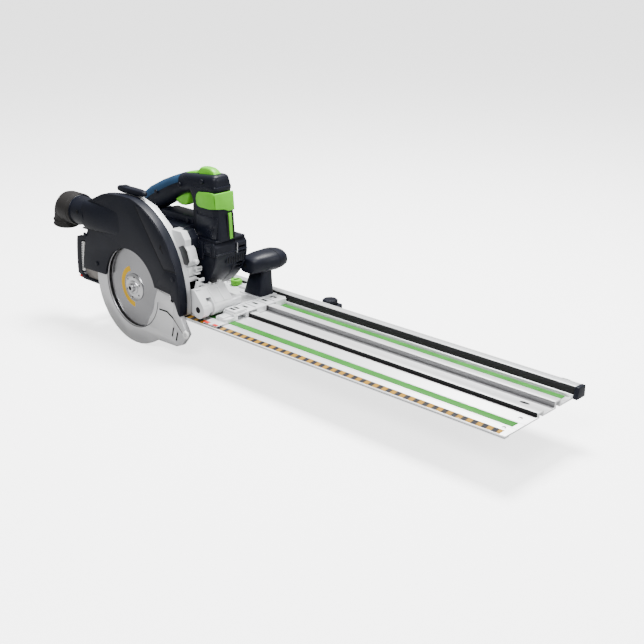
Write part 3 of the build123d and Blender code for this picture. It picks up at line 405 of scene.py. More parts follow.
def superellipse(half_u, half_v, power, steps=40, start=0.0, end=360.0):
    """Points on a rounded-box section."""
    points = []
    count = steps if end - start >= 360 else steps + 1
    for k in range(count):
        angle = math.radians(start + (end - start) * k / steps)
        c, s = math.cos(angle), math.sin(angle)
        points.append((
            half_u * math.copysign(abs(c) ** (2 / power), c),
            half_v * math.copysign(abs(s) ** (2 / power), s),
        ))
    return points


def loft_up(sections, power, steps=40):
    """Upright body: sections are (z, x low, x high, y middle, half width)."""
    rings = []
    for z, x0, x1, y, half in sections:
        rings.append([
            ((x0 + x1) / 2 + u, y + v, z) for u, v in superellipse((x1 - x0) / 2, half, power, steps)
        ])
    return build(rings)


def joined(meshes):
    """One mesh from several."""
    work = bmesh.new()
    for mesh in meshes:
        work.from_mesh(mesh)
        bpy.data.meshes.remove(mesh)
    mesh = bpy.data.meshes.new("group")
    work.to_mesh(mesh)
    work.free()
    return mesh


# ---------------------------------------------------------------- rail
def make_rail():
    skin("rail_profile", ANODISED, 0.3, 2)
    skin("splinter_guard", SPLINTER, 0.25, 2)
    skin("glide_strips", GREEN_STRIP, 0.25, 2)
    skin("rib_insert", BLACK_RUBBER, 0.2, 2)
    skin("grip_strips", BLACK_RUBBER, 0.2, 2)
    skin("fence_profile", FENCE_METAL, 0.4, 2)
    skin("fence_insert", BLACK_RUBBER, 0.2, 2)
    skin("fence_end_caps", NAVY, 0.9, 3)
    skin("cord_anchor", NAVY, 0.8, 3)
    skin("fixed_stop", NAVY, 0.5, 3)
    label = box((RAIL_START + 2, RAIL_END - 9), (2.3, 13.6), (RAIL_TOP, 3.06))
    place(label, "edge_stripe_label", HAZARD, "rail")
    # Painted shade: thin grey strips on the rail top stand for the shade in its lengthwise grooves, which
    # are not cut into the mesh.
    grooves = [box((RAIL_START, RAIL_END), (y, y + 0.7), (RAIL_TOP, 3.05))
               for y in (24.4, 41.6, 63.5, 84.5, 99.5, 121.5, 129.2)]
    place(joined(grooves), "rail_groove_shade_lines", GROOVE_SHADE_GREY, "rail")
    channel = box((RAIL_START, RAIL_END - 1), (65.2, 68.2), (RAIL_TOP, 3.2))
    place(channel, "rail_dark_channel", BLACK_RUBBER, "rail", 0.08, 2)
    # Painted shade on the rib's near side and its cut end, and painted shade and reflection of the fence's
    # black face on the rail top beside the fence.
    bands = [box((RAIL_START, RAIL_END - 1), (99.6, 105.0), (2.9, 3.25)),
             box((RAIL_START, RAIL_END - 1), (104.7, 105.6), (RAIL_TOP, 10.2)),
             box((RAIL_START, RAIL_END - 5), (FENCE_Y0 - 2.0, FENCE_Y0 - 0.1), (2.9, 3.3))]
    place(joined(bands), "rail_painted_shade_bands", RAIL_PAINTED_SHADE, "rail", 0.08, 2)
    # Painted shade: a thin black oval stands for the dark inside of the hanging slot; no hole is cut.
    hang_slot = plate([(RAIL_END - 34 + 7 * math.cos(a), 92 + 2.6 * math.sin(a))
                       for a in [math.pi * k / 16 for k in range(32)]], 2.9, 3.05)
    place(hang_slot, "rail_hang_slot_shade", SHADE_SEAM_PRINT_BLACK, "rail")
    for index, x in enumerate((RAIL_START + 14, RAIL_END - 14)):
        profile = [(0, 0), (0, 2.6), (0.5, 2.6), (0.7, 2.2), (0.7, 0)]
        screws = [turned(profile, (x, y, RAIL_TOP), (0, 0, 1), 24) for y in (19.5, 53.0)]
        place(joined(screws), f"rail_rivets_{index}", STEEL, "rail")


def make_angle_stop():
    skin("stop_slider", NAVY, 1.0, 3)
    knob = turned(
        [(0, 0), (0, 10.2), (0.8, 11), (6, 11), (7.6, 10), (8, 8), (7.4, 7), (7.4, 0)],
        (STOP_X, STOP_Y, 8.9), (0, 0, 1))
    piece = place(knob, "stop_knob_turned", NAVY, "angle_stop_knob", 0.3, 2)
    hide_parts("stop_knob")
    flutes = []
    flute_count = 14
    for k in range(flute_count):
        angle = 2 * math.pi * k / flute_count
        x, y = STOP_X + 10.7 * math.cos(angle), STOP_Y + 10.7 * math.sin(angle)
        flutes.append(turned([(0, 0), (0, 1.0), (5.2, 1.0), (5.6, 0.6)], (x, y, 9.8), (0, 0, 1), 10))
    place(joined(flutes), "stop_knob_grips", NAVY, "angle_stop_knob")


# ---------------------------------------------------------------- base
def make_base():
    skin("base_plate", CASTING, 0.7, 3)
    skin("bevel_segments", CASTING, 0.5, 3)
    skin("cutline_indicator", CASTING, 0.4, 3)
    marks = [box((148.5, 160), (2.8, 8.6), (5.3, 6.15)), box((168.5, 177.3), (2.8, 8.0), (5.3, 6.15))]
    place(joined(marks), "cutline_red_marks", RED_PRINT, "carriage", 0.1, 2)
    ribs = []
    for y0, y1 in ((62.5, 64.5), (80, 82), (101, 103), (118, 120)):
        ribs.append(box((152.6, 176.0), (y0, y1), (BASE_SEAT, 15.8)))
    ribs.append(box((152.6, 155.0), (62.5, 120), (BASE_SEAT, 15.8)))
    ribs.append(box((109, 156.5), (110, 142.8), (13.6, 15.6)))
    ribs.append(box((92, 110), (124, 142.8), (13.6, 17.5)))
    ribs.append(box((154, 176), (40, 60), (9.4, 17.2)))
    ribs.append(box((156, 170), (23, 39), (9.4, 11.2)))
    place(joined(ribs), "base_top_ribs", CASTING, "carriage", 0.7, 3)
    # Painted shadow: thin black patches on the base top stand for the shade inside its slots.
    slot_shadow_patches = [box((158, 168), (y - 2.0, y + 2.0), (14.0, 14.15)) for y in (72, 92, 111, 131)]
    slot_shadow_patches.append(box((158.5, 170), (44, 49), (17.2, 17.32)))
    slot_shadow_patches.append(box((158.5, 170), (52, 56), (17.2, 17.32)))
    place(joined(slot_shadow_patches), "base_slot_shadows", SHADE_SEAM_PRINT_BLACK, "carriage")
    profile = [(0, 0), (0, 3.4), (2.0, 3.4), (2.4, 3.0), (2.4, 0)]
    bolts = [turned(profile, (x, y, BASE_SEAT), (0, 0, 1), 24)
             for x, y in ((-118, 72), (-118, 132), (60, 132), (164, 126), (148, 70), (-70, 132))]
    place(joined(bolts), "base_screws", STEEL, "carriage")
    stiffeners = [box((-120, 95), (y, y + 1.6), (BASE_SEAT, 14.5)) for y in (84, 100, 118)]
    place(joined(stiffeners), "base_stiffeners", CASTING, "carriage", 0.4, 2)
    for node, body, x, y in (("front_rail_adjuster", "front_adjuster", 79, 131),
                             ("rear_rail_adjuster", "rear_adjuster", -100, 105)):
        profile = [(0, 0), (0, 7.5), (1, 8.9), (7.6, 8.9), (8.8, 8.0), (9.0, 6.5), (8.4, 5.8), (8.4, 0)]
        knob = place(turned(profile, (x, y, 14.2), (0, 0, 1)), node + "_knob", GREEN, body,
                     0.2, 2)
        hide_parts(node)
        # Painted shade: a thin black bar on the knob's top stands for the shade in the slot across it.
        bar = box((x - 1.4, x + 1.4), (y - 5.6, y + 5.6), (22.5, 23.2))
        place(bar, node + "_slot", SHADE_SEAM_PRINT_BLACK, body, 0.3, 2)


def make_front_handle():
    stem = loft_up(
        [(14.0, 112.7, 154.3, 127, 15.3), (16, 113.6, 153.8, 127, 15.0),
         (40, 119.0, 152.8, 128.8, 11.6), (52, 121.5, 152.4, 130, 9.8), (61, 121.5, 152.8, 131, 9.6)], 5.5)
    piece = place(stem, "front_stem_body", NAVY, "carriage", 0.4, 2)
    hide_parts("front_handle_stem")
    rings = []
    sections = ((101.2, 136.0, 63.5, 13.5, 10.5, 3.4), (103.0, 136.4, 63.8, 16.0, 12.0, 3.2),
                (110, 138.4, 65.2, 18.6, 13.4, 2.8), (122, 141.5, 66.6, 21.4, 15.0, 2.5),
                (136, 143.6, 67.4, 22.8, 15.2, 2.4), (150, 144.4, 67.8, 22.6, 15.0, 2.3),
                (159, 144.6, 67.8, 19.6, 13.0, 2.2), (164, 144.6, 67.7, 14.0, 9.2, 2.1),
                (165.7, 144.6, 67.7, 7.0, 4.6, 2.0))
    for y, x, z, half_x, half_z, power in sections:
        rings.append([(x + u, y, z + v) for u, v in superellipse(half_x, half_z, power, 48)])
    knob = place(build(rings), "front_knob_body", NAVY, "carriage")
    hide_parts("front_handle_grip")
    # Painted shade: a thin black disc stands for the shade inside the knob's socket.
    socket = turned([(0, 0), (0, 3.0), (0.6, 3.4), (0.6, 0)], (133.5, 101.0, 63), (0, 1, 0), 24)
    place(socket, "front_knob_socket_shade", SHADE_SEAM_PRINT_BLACK, "carriage")
    seam = [[(144 + 1.002 * u, y, 67.5 + 1.0 * v) for u, v in superellipse(22.7, 15.5, 2.4, 48)]
            for y in (141.6, 142.2)]
    place(build(seam), "front_knob_seam", SHADE_SEAM_PRINT_BLACK, "carriage")


# ---------------------------------------------------------------- tilting frame
def make_tilt_frame():
    skin("pivot_block", CASTING, 1.2, 3)
    skin("pivot_pin", STEEL, 0.3, 2)
    skin("tilt_beam", CASTING, 0.7, 3)
    skin("depth_segment", NAVY, 0.9, 3)
    skin("segment_plate", BRACKET_PLATE, 0.4, 2)
    skin("depth_scale", WHITE_PRINT, 0.3, 2)
    mouth = turned([(0, 5.0), (0, 6.6), (0.8, 6.2), (0.8, 5.0)], (PIVOT_X, 3.9, PIVOT_Z), (0, 1, 0), 40)
    place(mouth, "pivot_bore_rim", CASTING, "tilt_frame")
    # Painted shade: a thin black disc just proud of the near face stands for the shade in the open bore,
    # and covers it.
    bore_shade = turned([(0, 0), (0, 4.7), (0.3, 4.7), (0.3, 0)], (PIVOT_X, 3.8, PIVOT_Z), (0, 1, 0), 32)
    place(bore_shade, "pivot_bore_shade_disc", SHADE_SEAM_PRINT_BLACK, "tilt_frame")
    slope_rib = [(131.6, 47.2), (149.0, 28.2), (149.8, 28.8), (132.4, 47.8)]
    details = [
        box((125, 131), (26, 34), (47.5, 50.5)),
        box((125, 130), (36, 37.5), (47.5, 52)),
        box((125.2, 129.5), (52, 58), (47.5, 51)),
        slab(slope_rib, 27, 30),
        slab(slope_rib, 44, 47),
        box((126, 133), (6, 14), (47.4, 48.8)),
    ]
    place(joined(details), "pivot_block_bosses", CASTING, "tilt_frame", 0.5, 3)
    bolt = turned([(0, 0), (0, 3.2), (2.2, 3.2), (2.6, 2.7), (2.6, 0)], (127.8, 43, 47.8), (0, 0, 1), 24)
    place(bolt, "pivot_block_bolt", STEEL, "tilt_frame")
    beads = []
    for k in range(15):
        angle = math.radians(0.4 + 0.6 * k)
        x = PIVOT_X - SCALE_RADIUS * math.cos(angle)
        z = PIVOT_Z + SCALE_RADIUS * math.sin(angle)
        beads.append(turned([(0, 0), (0, 0.8), (0.5, 0.8), (0.5, 0)], (x, 2.2, z), (0, 1, 0), 10))
    place(joined(beads), "depth_scale_marks", SHADE_SEAM_PRINT_BLACK, "tilt_frame")
    arrow = slab([(-157.5, 7.6), (-148.0, 10.2), (-148.0, 5.2)], 2.0, 3.0)
    place(arrow, "depth_red_pointer", RED_PRINT, "tilt_frame", 0.1, 2)
    for node, body in (("front_bevel_knob", "front_clamp_knob"), ("rear_bevel_knob", "rear_clamp_knob")):
        low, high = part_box(node)
        y, z = (low.y + high.y) / 2 / MM, (low.z + high.z) / 2 / MM
        profile = [(0, 0), (0, 8.4), (1.2, 9.8), (9.5, 9.8), (10.8, 8.6), (11, 0)]
        knob = place(turned(profile, (low.x / MM, y, z), (1, 0, 0)), node + "_turned", NAVY, body,
                     0.2, 2)
        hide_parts(node)


# ---------------------------------------------------------------- blade and hub
def make_blade():
    mid = BLADE_Y + 0.9
    pitch = 360 / TOOTH_COUNT
    # One tooth as (share of the pitch, radius): its back, the gullet and the face.
    tooth = ((0.0, 79.0), (0.16, 78.6), (0.55, 76.6), (0.72, 74.0), (0.82, 70.8), (0.92, 70.6),
             (0.985, 73.0))
    tip = ((0.0, 79.85), (0.10, 79.5), (0.13, 75.0), (0.0, 74.4))
    outline = []
    tips = []
    for k in range(TOOTH_COUNT):
        base = pitch * k
        outline += [about_hub(radius, base + share * pitch) for share, radius in tooth]
        tip_points = [about_hub(radius, base + share * pitch) for share, radius in tip]
        tips.append(slab(tip_points, mid - 1.15, mid + 1.15))
    disc = place(slab(outline, mid - 0.8, mid + 0.8), "blade_disc", BLADE_STEEL, "spindle",
                 0.12, 1)
    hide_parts("saw_blade")
    place(joined(tips), "blade_tips", CARBIDE, "spindle", 0.1, 1)
    # Painted shade: thin black strips on the blade's near face stand for the dark gaps of the expansion
    # slits; nothing is cut through.
    slits = []
    for k in range(3):
        base = 60 + 120 * k
        points = [(62 + 4 * t, base + 7 * math.sin(t * 1.5)) for t in range(4)]
        left = [about_hub(radius, degrees) for radius, degrees in points]
        right = [about_hub(radius, degrees + 0.7) for radius, degrees in points[::-1]]
        slits.append(slab(left + right, mid - 0.83, mid - 0.79))
    place(joined(slits), "blade_slit_shade", SHADE_SEAM_PRINT_BLACK, "spindle")
    arc = slab(band(0, HUB_Z, 25.0, 32.5, 108, 266), mid - 0.84, mid - 0.79)
    place(arc, "blade_yellow_arc", YELLOW_PRINT, "spindle")
    flange = turned([(0, 4), (0, 21), (1.2, 21), (2.4, 18.5), (2.9, 14.0), (2.9, 4)],
                    (0, BLADE_Y, HUB_Z), (0, -1, 0), 64)
    piece = place(flange, "outer_flange_turned", FLANGE_STEEL, "spindle")
    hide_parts("outer_flange")
    # Painted shade: thin black discs on the flange face stand for the shade inside its holes.
    hole_shade_discs = []
    for k in range(6):
        x, z = about_hub(16, 60 * k + 20)
        hole_shade_discs.append(turned([(0, 0), (0, 1.5), (0.12, 1.5), (0.12, 0)], (x, BLADE_Y - 2.65, z),
                              (0, -1, 0), 16))
    place(joined(hole_shade_discs), "flange_hole_shade", SHADE_SEAM_PRINT_BLACK, "spindle")
    washer = turned([(0, 0), (0, 10.5), (1.0, 10.5), (1.3, 9.8), (1.3, 0)], (0, BLADE_Y - 2.9, HUB_Z),
                    (0, -1, 0), 48)
    place(washer, "bolt_washer", FLANGE_STEEL, "spindle")
    head = turned([(0, 0), (0, 6.6), (4.4, 6.6), (5.0, 6.0), (5.0, 3.3), (2.0, 3.1), (2.0, 0)],
                  (0, BLADE_Y - 4.0, HUB_Z), (0, -1, 0), 48)
    piece = place(head, "bolt_head", STEEL, "spindle")
    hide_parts("blade_bolt")
    # Painted shade: a thin black hexagon on the bolt head stands for the shade inside its hex socket.
    hexagon = slab(circle(0, HUB_Z, 3.2, 6), BLADE_Y - 8.95, BLADE_Y - 8.2)
    place(hexagon, "bolt_socket_shade", SHADE_SEAM_PRINT_BLACK, "spindle")
    for node in ("inner_flange", "output_spindle"):
        skin(node, STEEL, 0)
    skin("layshaft", STEEL, 0)
    skin("motor_rotor", STEEL, 0)
    skin("cooling_fan", NAVY, 0)


def make_guard():
    skin("lower_guard", GUARD_METAL, 0.9, 3)
    skin("guard_wheel", WHITE_PRINT, 0.8, 3)
    # Painted shade: a dark band along the guard opening's edge stands for the shaded inner wall of the
    # lip.
    edge = slab(band(0, HUB_Z, 61.0, 62.2, 128, 352), GUARD_FACE - 0.35, GUARD_FACE + 0.2)
    place(edge, "guard_lip_shade_band", DARK_STEEL_AND_LIP_SHADE, "swing_guard", 0.12, 2)
    seam_points = [(63, 7.6), (81.9, 8.0), (96.6, 0.6), (123.6, -23.6), (122.0, -25.5), (94.9, -1.7),
                   (80.9, 5.4), (63, 5.2)]
    place(slab(seam_points, GUARD_FACE - 0.1, GUARD_FACE + 0.3), "guard_seam", SHADE_SEAM_PRINT_BLACK, "swing_guard")
    step_points = [(96.3, 1.0), (102, 24.4), (126.4, -17.6), (123.6, -23.6)]
    place(slab(step_points, GUARD_FACE - 1.3, GUARD_FACE + 0.5), "guard_tip_plate", GUARD_METAL,
          "swing_guard", 0.5, 3)
    raised = [(64, 9.4), (81.6, 9.6), (94.4, 2.8), (100.2, 22.8), (94.4, 25.6), (90.2, 32.4), (64.5, 36.2)]
    place(slab(raised, GUARD_FACE - 0.9, GUARD_FACE + 0.4), "guard_front_plate", GUARD_METAL,
          "swing_guard", 0.5, 3)
    # Painted shade: a thin black disc on the guard face stands for the shade inside the notch.
    notch = turned([(0, 0), (0, 3.0), (1.4, 2.6), (1.4, 0)], (95.6, GUARD_FACE - 0.2, 27.4),
                   (0, -1, 0), 24)
    place(notch, "guard_notch_shade", SHADE_SEAM_PRINT_BLACK, "swing_guard")
    # Painted shade: thin black strips on the guard face stand for the shade inside its slots.
    slots = []
    for (xa, za), (xb, zb) in (((94.6, -15.2), (90.6, -29.3)), ((103.6, -20.8), (99.6, -33.9))):
        along = Vector((xb - xa, zb - za)).normalized()
        across = Vector((-along.y, along.x)) * 1.3
        slots.append(slab([(xa + across.x, za + across.y), (xb + across.x, zb + across.y),
                           (xb - across.x, zb - across.y), (xa - across.x, za - across.y)],
                          GUARD_FACE - 0.05, GUARD_FACE + 0.2))
    place(joined(slots), "guard_slot_shade", SHADE_SEAM_PRINT_BLACK, "swing_guard")


# ---------------------------------------------------------------- cover and housings
def make_cover():
    skin("guard_cover", NAVY, 2.0, 4, 40)
    skin("blade_housing", CASTING, 0.8, 3)
    skin("gearbox_cover", NAVY, 0.9, 3)
    skin("housing_screws", NAVY, 0.3, 2)
    skin("depth_pointer", DARK_STEEL_AND_LIP_SHADE, 0.3, 2)
    rings = []
    for x, reach, drop in ((-101, 10.4, 0), (-86, 10.2, 0), (-70, 8.6, 0.5), (-54, 6.0, 1.5),
                           (-38, 3.3, 3.0), (-24, 1.2, 4.5), (-16, 0.2, 5.5)):
        half = 22.2 - drop
        turns = [math.pi * k / 24 for k in range(25)]
        rings.append([(x, COVER_FACE + 0.4 - reach * math.sin(a), TUBE_Z + half * math.cos(a))
                      for a in turns])
    place(build(rings), "cover_tube_fairing", NAVY, "saw_unit")
    band_face = [(25.0, 158.0), (84.6, 74.5), (110.6, 76.0), (108.6, 83), (101.5, 96.5), (91.5, 112),
                 (77, 130.0), (60, 144), (42, 154.6)]
    place(slab(band_face, COVER_FACE - 0.9, COVER_FACE + 0.4), "cover_front_panel", NAVY, "saw_unit",
          0.8, 3)
    # Painted shade: a thin black strip along the front panel's edge stands for the shade in the groove
    # there.
    groove = [(22.6, 158.2), (83.6, 72.4), (112.0, 74.2), (112.0, 73.2), (82.9, 71.3), (21.4, 157.8)]
    place(slab(groove, COVER_FACE - 0.08, COVER_FACE + 0.2), "cover_groove_shade", SHADE_SEAM_PRINT_BLACK, "saw_unit")
    lower = [(84.8, 70.2), (112.8, 71.6), (114.6, 40), (112.6, 13.6), (106.2, 28), (99.2, 33),
             (96.8, 39.2), (64.4, 43.6), (66.4, 48), (78, 60)]
    place(slab(lower, COVER_FACE - 0.5, COVER_FACE + 0.4), "cover_lower_panel", NAVY, "saw_unit",
          0.4, 2)
    arrow = [slab([(80.6, 104.6), (86.4, 96.8), (84.8, 96.0), (78.6, 104.0)],
                  COVER_FACE - 1.0, COVER_FACE - 0.6),
             slab([(77.2, 101.4), (80.2, 109.4), (83.4, 106.4)], COVER_FACE - 1.0, COVER_FACE - 0.6)]
    place(joined(arrow), "cover_turn_arrow", SHADE_SEAM_PRINT_BLACK, "saw_unit")
    # Painted shade: a thin black patch stands for the shade inside the screw slot.
    slot_mark = slab([(-112.5, 128), (-107.5, 128), (-107.5, 122), (-112.5, 122)], -22.9, -22.0)
    place(slot_mark, "tube_screw_slot_shade", SHADE_SEAM_PRINT_BLACK, "saw_unit", 0.4, 2)
    rim = turned([(0, 21.0), (0, 23.1), (1.0, 23.6), (5, 23.6), (6, 22.8), (6, 21.0)],
                 (-137.6, 0, TUBE_Z), (1, 0, 0), 64)
    place(rim, "tube_end_rim", NAVY, "saw_unit")
    profile = [(0, 0), (0, 3.4), (1.2, 3.4), (1.8, 2.8), (1.8, 0)]
    fasteners = [turned(profile, (x, HOUSING_SEAT, z), (0, 1, 0), 24)
                 for x, z in ((-84, 24), (-84, 90), (-50, 140), (92, 50), (60, 14), (96, 100))]
    place(joined(fasteners), "housing_bolts", STEEL, "saw_unit")
    rib_limits = (((-88, -86.4), (30, 120)), ((-86, -30), (60, 61.6)), ((-86, -10), (100, 101.6)),
                  ((-50, -48.4), (20, 140)))
    ribs = [box(x, (HOUSING_SEAT, 16.5), z) for x, z in rib_limits]
    place(joined(ribs), "housing_ribs", CASTING, "saw_unit", 0.4, 2)
    window = [(85.5, 81.5), (85.5, 100.5), (104, 108.5), (111.6, 101.2), (116.4, 86.6), (111.6, 79.6)]
    place(slab(window, 9.6, 10.2), "motor_clamp_window", DARK_STEEL_AND_LIP_SHADE, "saw_unit")
    clamp = [(86.5, 82.6), (87.2, 99.4), (103.6, 106.8), (110.2, 100.2), (114.6, 87.0), (110.6, 81.2)]
    place(slab(clamp, 24.9, 25.25), "motor_clamp_plate", BRACKET_PLATE, "saw_unit")
    clips = [turned([(0, 0), (0, 3.6), (6, 3.6), (7, 2.6), (7, 0)], (120, 16.5, 86.5), (1, 0, 0), 24),
             box((108, 119), (21, 29), (71.4, 74.6)), box((106, 117), (21, 29), (64.2, 67.2)),
             box((117.0, 119.0), (19.5, 30.5), (69.5, 76.2)), box((109, 124), (24, 26.4), (56.4, 58.6)),
             box((122, 124), (20, 30), (55.2, 60.2)), box((104, 110), (12.5, 28), (62, 76)),
             box((104, 111), (12.5, 26), (54, 60))]
    bridge = slab([(86.6, 100.6), (86.6, 127.4), (100.2, 127.4), (108.4, 116.2), (108.4, 100.6)],
                  20.5, 35.4)
    place(bridge, "motor_bridge_cap", NAVY, "saw_unit", 1.4, 3)
    place(joined(clips), "motor_mount_clips", CASTING, "saw_unit", 0.4, 2)


def make_top_lever():
    outline = [(-40, 6.5), (-37, 3), (-26, 0.6), (-6, -0.4), (14, 0.2), (26, 2.6), (30, 6.5), (26, 10.6),
               (14, 13.2), (-6, 14), (-26, 12.8), (-37, 10)]
    rings = []
    for z, scale in ((166.2, 0.86), (167.2, 0.96), (170, 1.0), (173, 0.97), (174.6, 0.86), (175.1, 0.7)):
        rings.append([(-5 + (x + 5) * scale, 6.8 + (y - 6.8) * scale, z) for x, y in outline])
    lever = place(build(rings), "depth_lever_body", NAVY, "depth_lever", 0.3, 2)
    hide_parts("depth_lock_lever")
    grips = [box((x, x + 1.2), (1.5, 12.5), (174.6, 175.6)) for x in (-28, -25, -22, -19)]
    place(joined(grips), "depth_lever_grips", NAVY, "depth_lever", 0.2, 2)


def make_dust_port():
    profile = [(0, 22.7), (0, 24.4), (1.2, 25), (5, 25), (5.6, 24.2), (6.4, 24.2), (7, 25), (28, 25),
               (30, 24.2), (34.5, 23.6), (34.5, 20)]
    ring = place(turned(profile, (-132.2, 0, TUBE_Z), (-1, 0, 0), 72), "dust_ring", CHARCOAL,
                 "dust_elbow")
    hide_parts("dust_port")
    ribs = []
    rib_count = 26
    rib_profile = [(0, 0.6), (0.6, 1.05), (19.6, 1.05), (20.2, 0.6)]
    for k in range(rib_count):
        angle = 2 * math.pi * k / rib_count
        y, z = 23.9 * math.cos(angle), TUBE_Z + 23.9 * math.sin(angle)
        ribs.append(turned(rib_profile, (-140.6, y, z), (-1, 0, 0), 10))
    place(joined(ribs), "dust_ring_ribs", CHARCOAL, "dust_elbow")
    rings = []
    start, end = Vector((-160.0, 0, TUBE_Z)), Vector((SPOUT_X, 0, SPOUT_Z))
    bend = Vector((-172.4, 0, 118.2))
    steps = 22
    for k in range(steps + 1):
        t = k / steps
        center = start * (1 - t) ** 2 + bend * 2 * t * (1 - t) + end * t ** 2
        along = ((bend - start) * (1 - t) + (end - bend) * t).normalized()
        up = along.cross(Vector((0, 1, 0)))
        radius = 23.4 - 4.2 * min(1, t * 1.35)
        rings.append([tuple(center + (Vector((0, 1, 0)) * math.cos(a) + up * math.sin(a)) * radius)
                      for a in [2 * math.pi * j / 56 for j in range(56)]])
    inner = []
    for ring_points in (rings[-1], rings[-5]):
        middle = sum((Vector(p) for p in ring_points), Vector()) / len(ring_points)
        inner.append([tuple(middle + (Vector(p) - middle) * 0.87) for p in ring_points])
    elbow = build(rings + inner)
    place(elbow, "dust_elbow_body", CHARCOAL, "dust_elbow")
    lips = []
    lean, rise = 0.147, 0.989  # the spout's axis leans slightly
    for offset_mm, radius in ((0.0, 19.6), (7.0, 19.9)):
        profile = [(0, 18.6), (0, radius), (0.6, radius + 0.5), (1.8, radius + 0.5), (2.4, radius),
                   (2.4, 18.6)]
        low = (SPOUT_X + offset_mm * lean, 0, SPOUT_Z + offset_mm * rise)
        lips.append(turned(profile, low, (lean, 0, rise), 56))
    place(joined(lips), "dust_spout_rings", CHARCOAL, "dust_elbow")


# ---------------------------------------------------------------- motor housing
def make_motor():
    skin("motor_housing", NAVY, 3.0, 4)
    skin("motor_end_cap", NAVY, 3.0, 4)
    skin("motor_stator", COPPER, 0)
    skin("shaft_bearings", STEEL, 0)
    rim = box((82, 143.2), (37.2, 98.6), (92.5, 95.2))
    place(rim, "motor_rim_band", NAVY_GLOSS, "saw_unit", 1.1, 3)
    step = box((90, 140.6), (39.5, 96.5), (111.0, 114.6))
    place(step, "motor_top_step", NAVY, "saw_unit", 1.4, 3)
    near_box = box((118, 141.4), (34.6, 38.6), (92, 110.5))
    place(near_box, "motor_near_box", NAVY, "saw_unit", 1.2, 3)
    latch = box((121, 136), (33.4, 35.2), (96, 106))
    place(latch, "motor_near_catch", NAVY_GLOSS, "saw_unit", 0.7, 3)
    panel = box((84, 116), (35.2, 38.4), (84, 110.5))
    place(panel, "motor_near_panel", NAVY, "saw_unit", 1.2, 3)
    clip = slab([(141.6, 91), (143.6, 91), (144.6, 106), (143.2, 106)], 77.0, 78.2)
    place(clip, "motor_clip", STEEL, "saw_unit", 0.2, 2)
    bar_y = [58 + 4.6 * k for k in range(8)]
    bars = [box((139.2, 141.9), (y, y + 1.9), (76.5, 89.5)) for y in bar_y]
    place(joined(bars), "motor_front_louvres", NAVY_GLOSS, "saw_unit", 0.5, 2)
    # Painted shadow: black boxes fill the gaps between the louvre bars.
    shadows = [box((139.0, 141.2), (y + 2.2, y + 4.3), (77.5, 88.8)) for y in bar_y[:-1]]
    place(joined(shadows), "motor_louvre_gap_shade", SHADE_SEAM_PRINT_BLACK, "saw_unit")
    # Painted shade: thin black patches on the far side stand for the shade inside the vent slots.
    slots = []
    for row in range(4):
        for k in range(7):
            x = 18 + 11 * k
            z = 58 + 9 * row
            slots.append(box((x, x + 8), (97.4, 98.15), (z, z + 3)))
    place(joined(slots), "motor_far_vent_shade", SHADE_SEAM_PRINT_BLACK, "saw_unit", 0.3, 2)
    seam = slab([(-4.3, 50), (-4.3, 112.2), (136, 112.4), (142.3, 105), (142.3, 89), (133, 66),
                 (119.4, 48.8), (104, 36.5), (84.8, 27.6), (62, 23.7), (10, 29.7)], 75.7, 76.3)
    place(seam, "motor_seam", SHADE_SEAM_PRINT_BLACK, "saw_unit")


# ---------------------------------------------------------------- handle
# Grip sections: top (x, z), bottom (x, z), half width.
GRIP_SECTIONS = (
    ((-66, 133), (-50, 115), 16.0), ((-57, 142), (-33, 120), 16.6), ((-45, 151), (-16, 128), 16.8),
    ((-22, 167), (4, 138.6), 17.0), ((8, 181.5), (26, 149.5), 17.2), ((32, 191), (44, 160.5), 17.4),
    ((54, 198.6), (60, 168.5), 17.6), ((74, 202.0), (76, 172.5), 17.8), ((92, 204.6), (90, 174), 17.8),
)


def grip_rings(scale, start, end, steps, count):
    """Cross-sections of the grip, leaning with its axis."""
    rings = []
    for top, bottom, half in GRIP_SECTIONS[:count]:
        center = Vector(((top[0] + bottom[0]) / 2, GRIP_Y, (top[1] + bottom[1]) / 2))
        up = Vector((top[0] - bottom[0], 0, top[1] - bottom[1])) / 2
        rings.append([
            tuple(center + up * v * scale + Vector((0, u * half * scale, 0)))
            for u, v in superellipse(1, 1, 2.7, steps, start, end)
        ])
    return rings


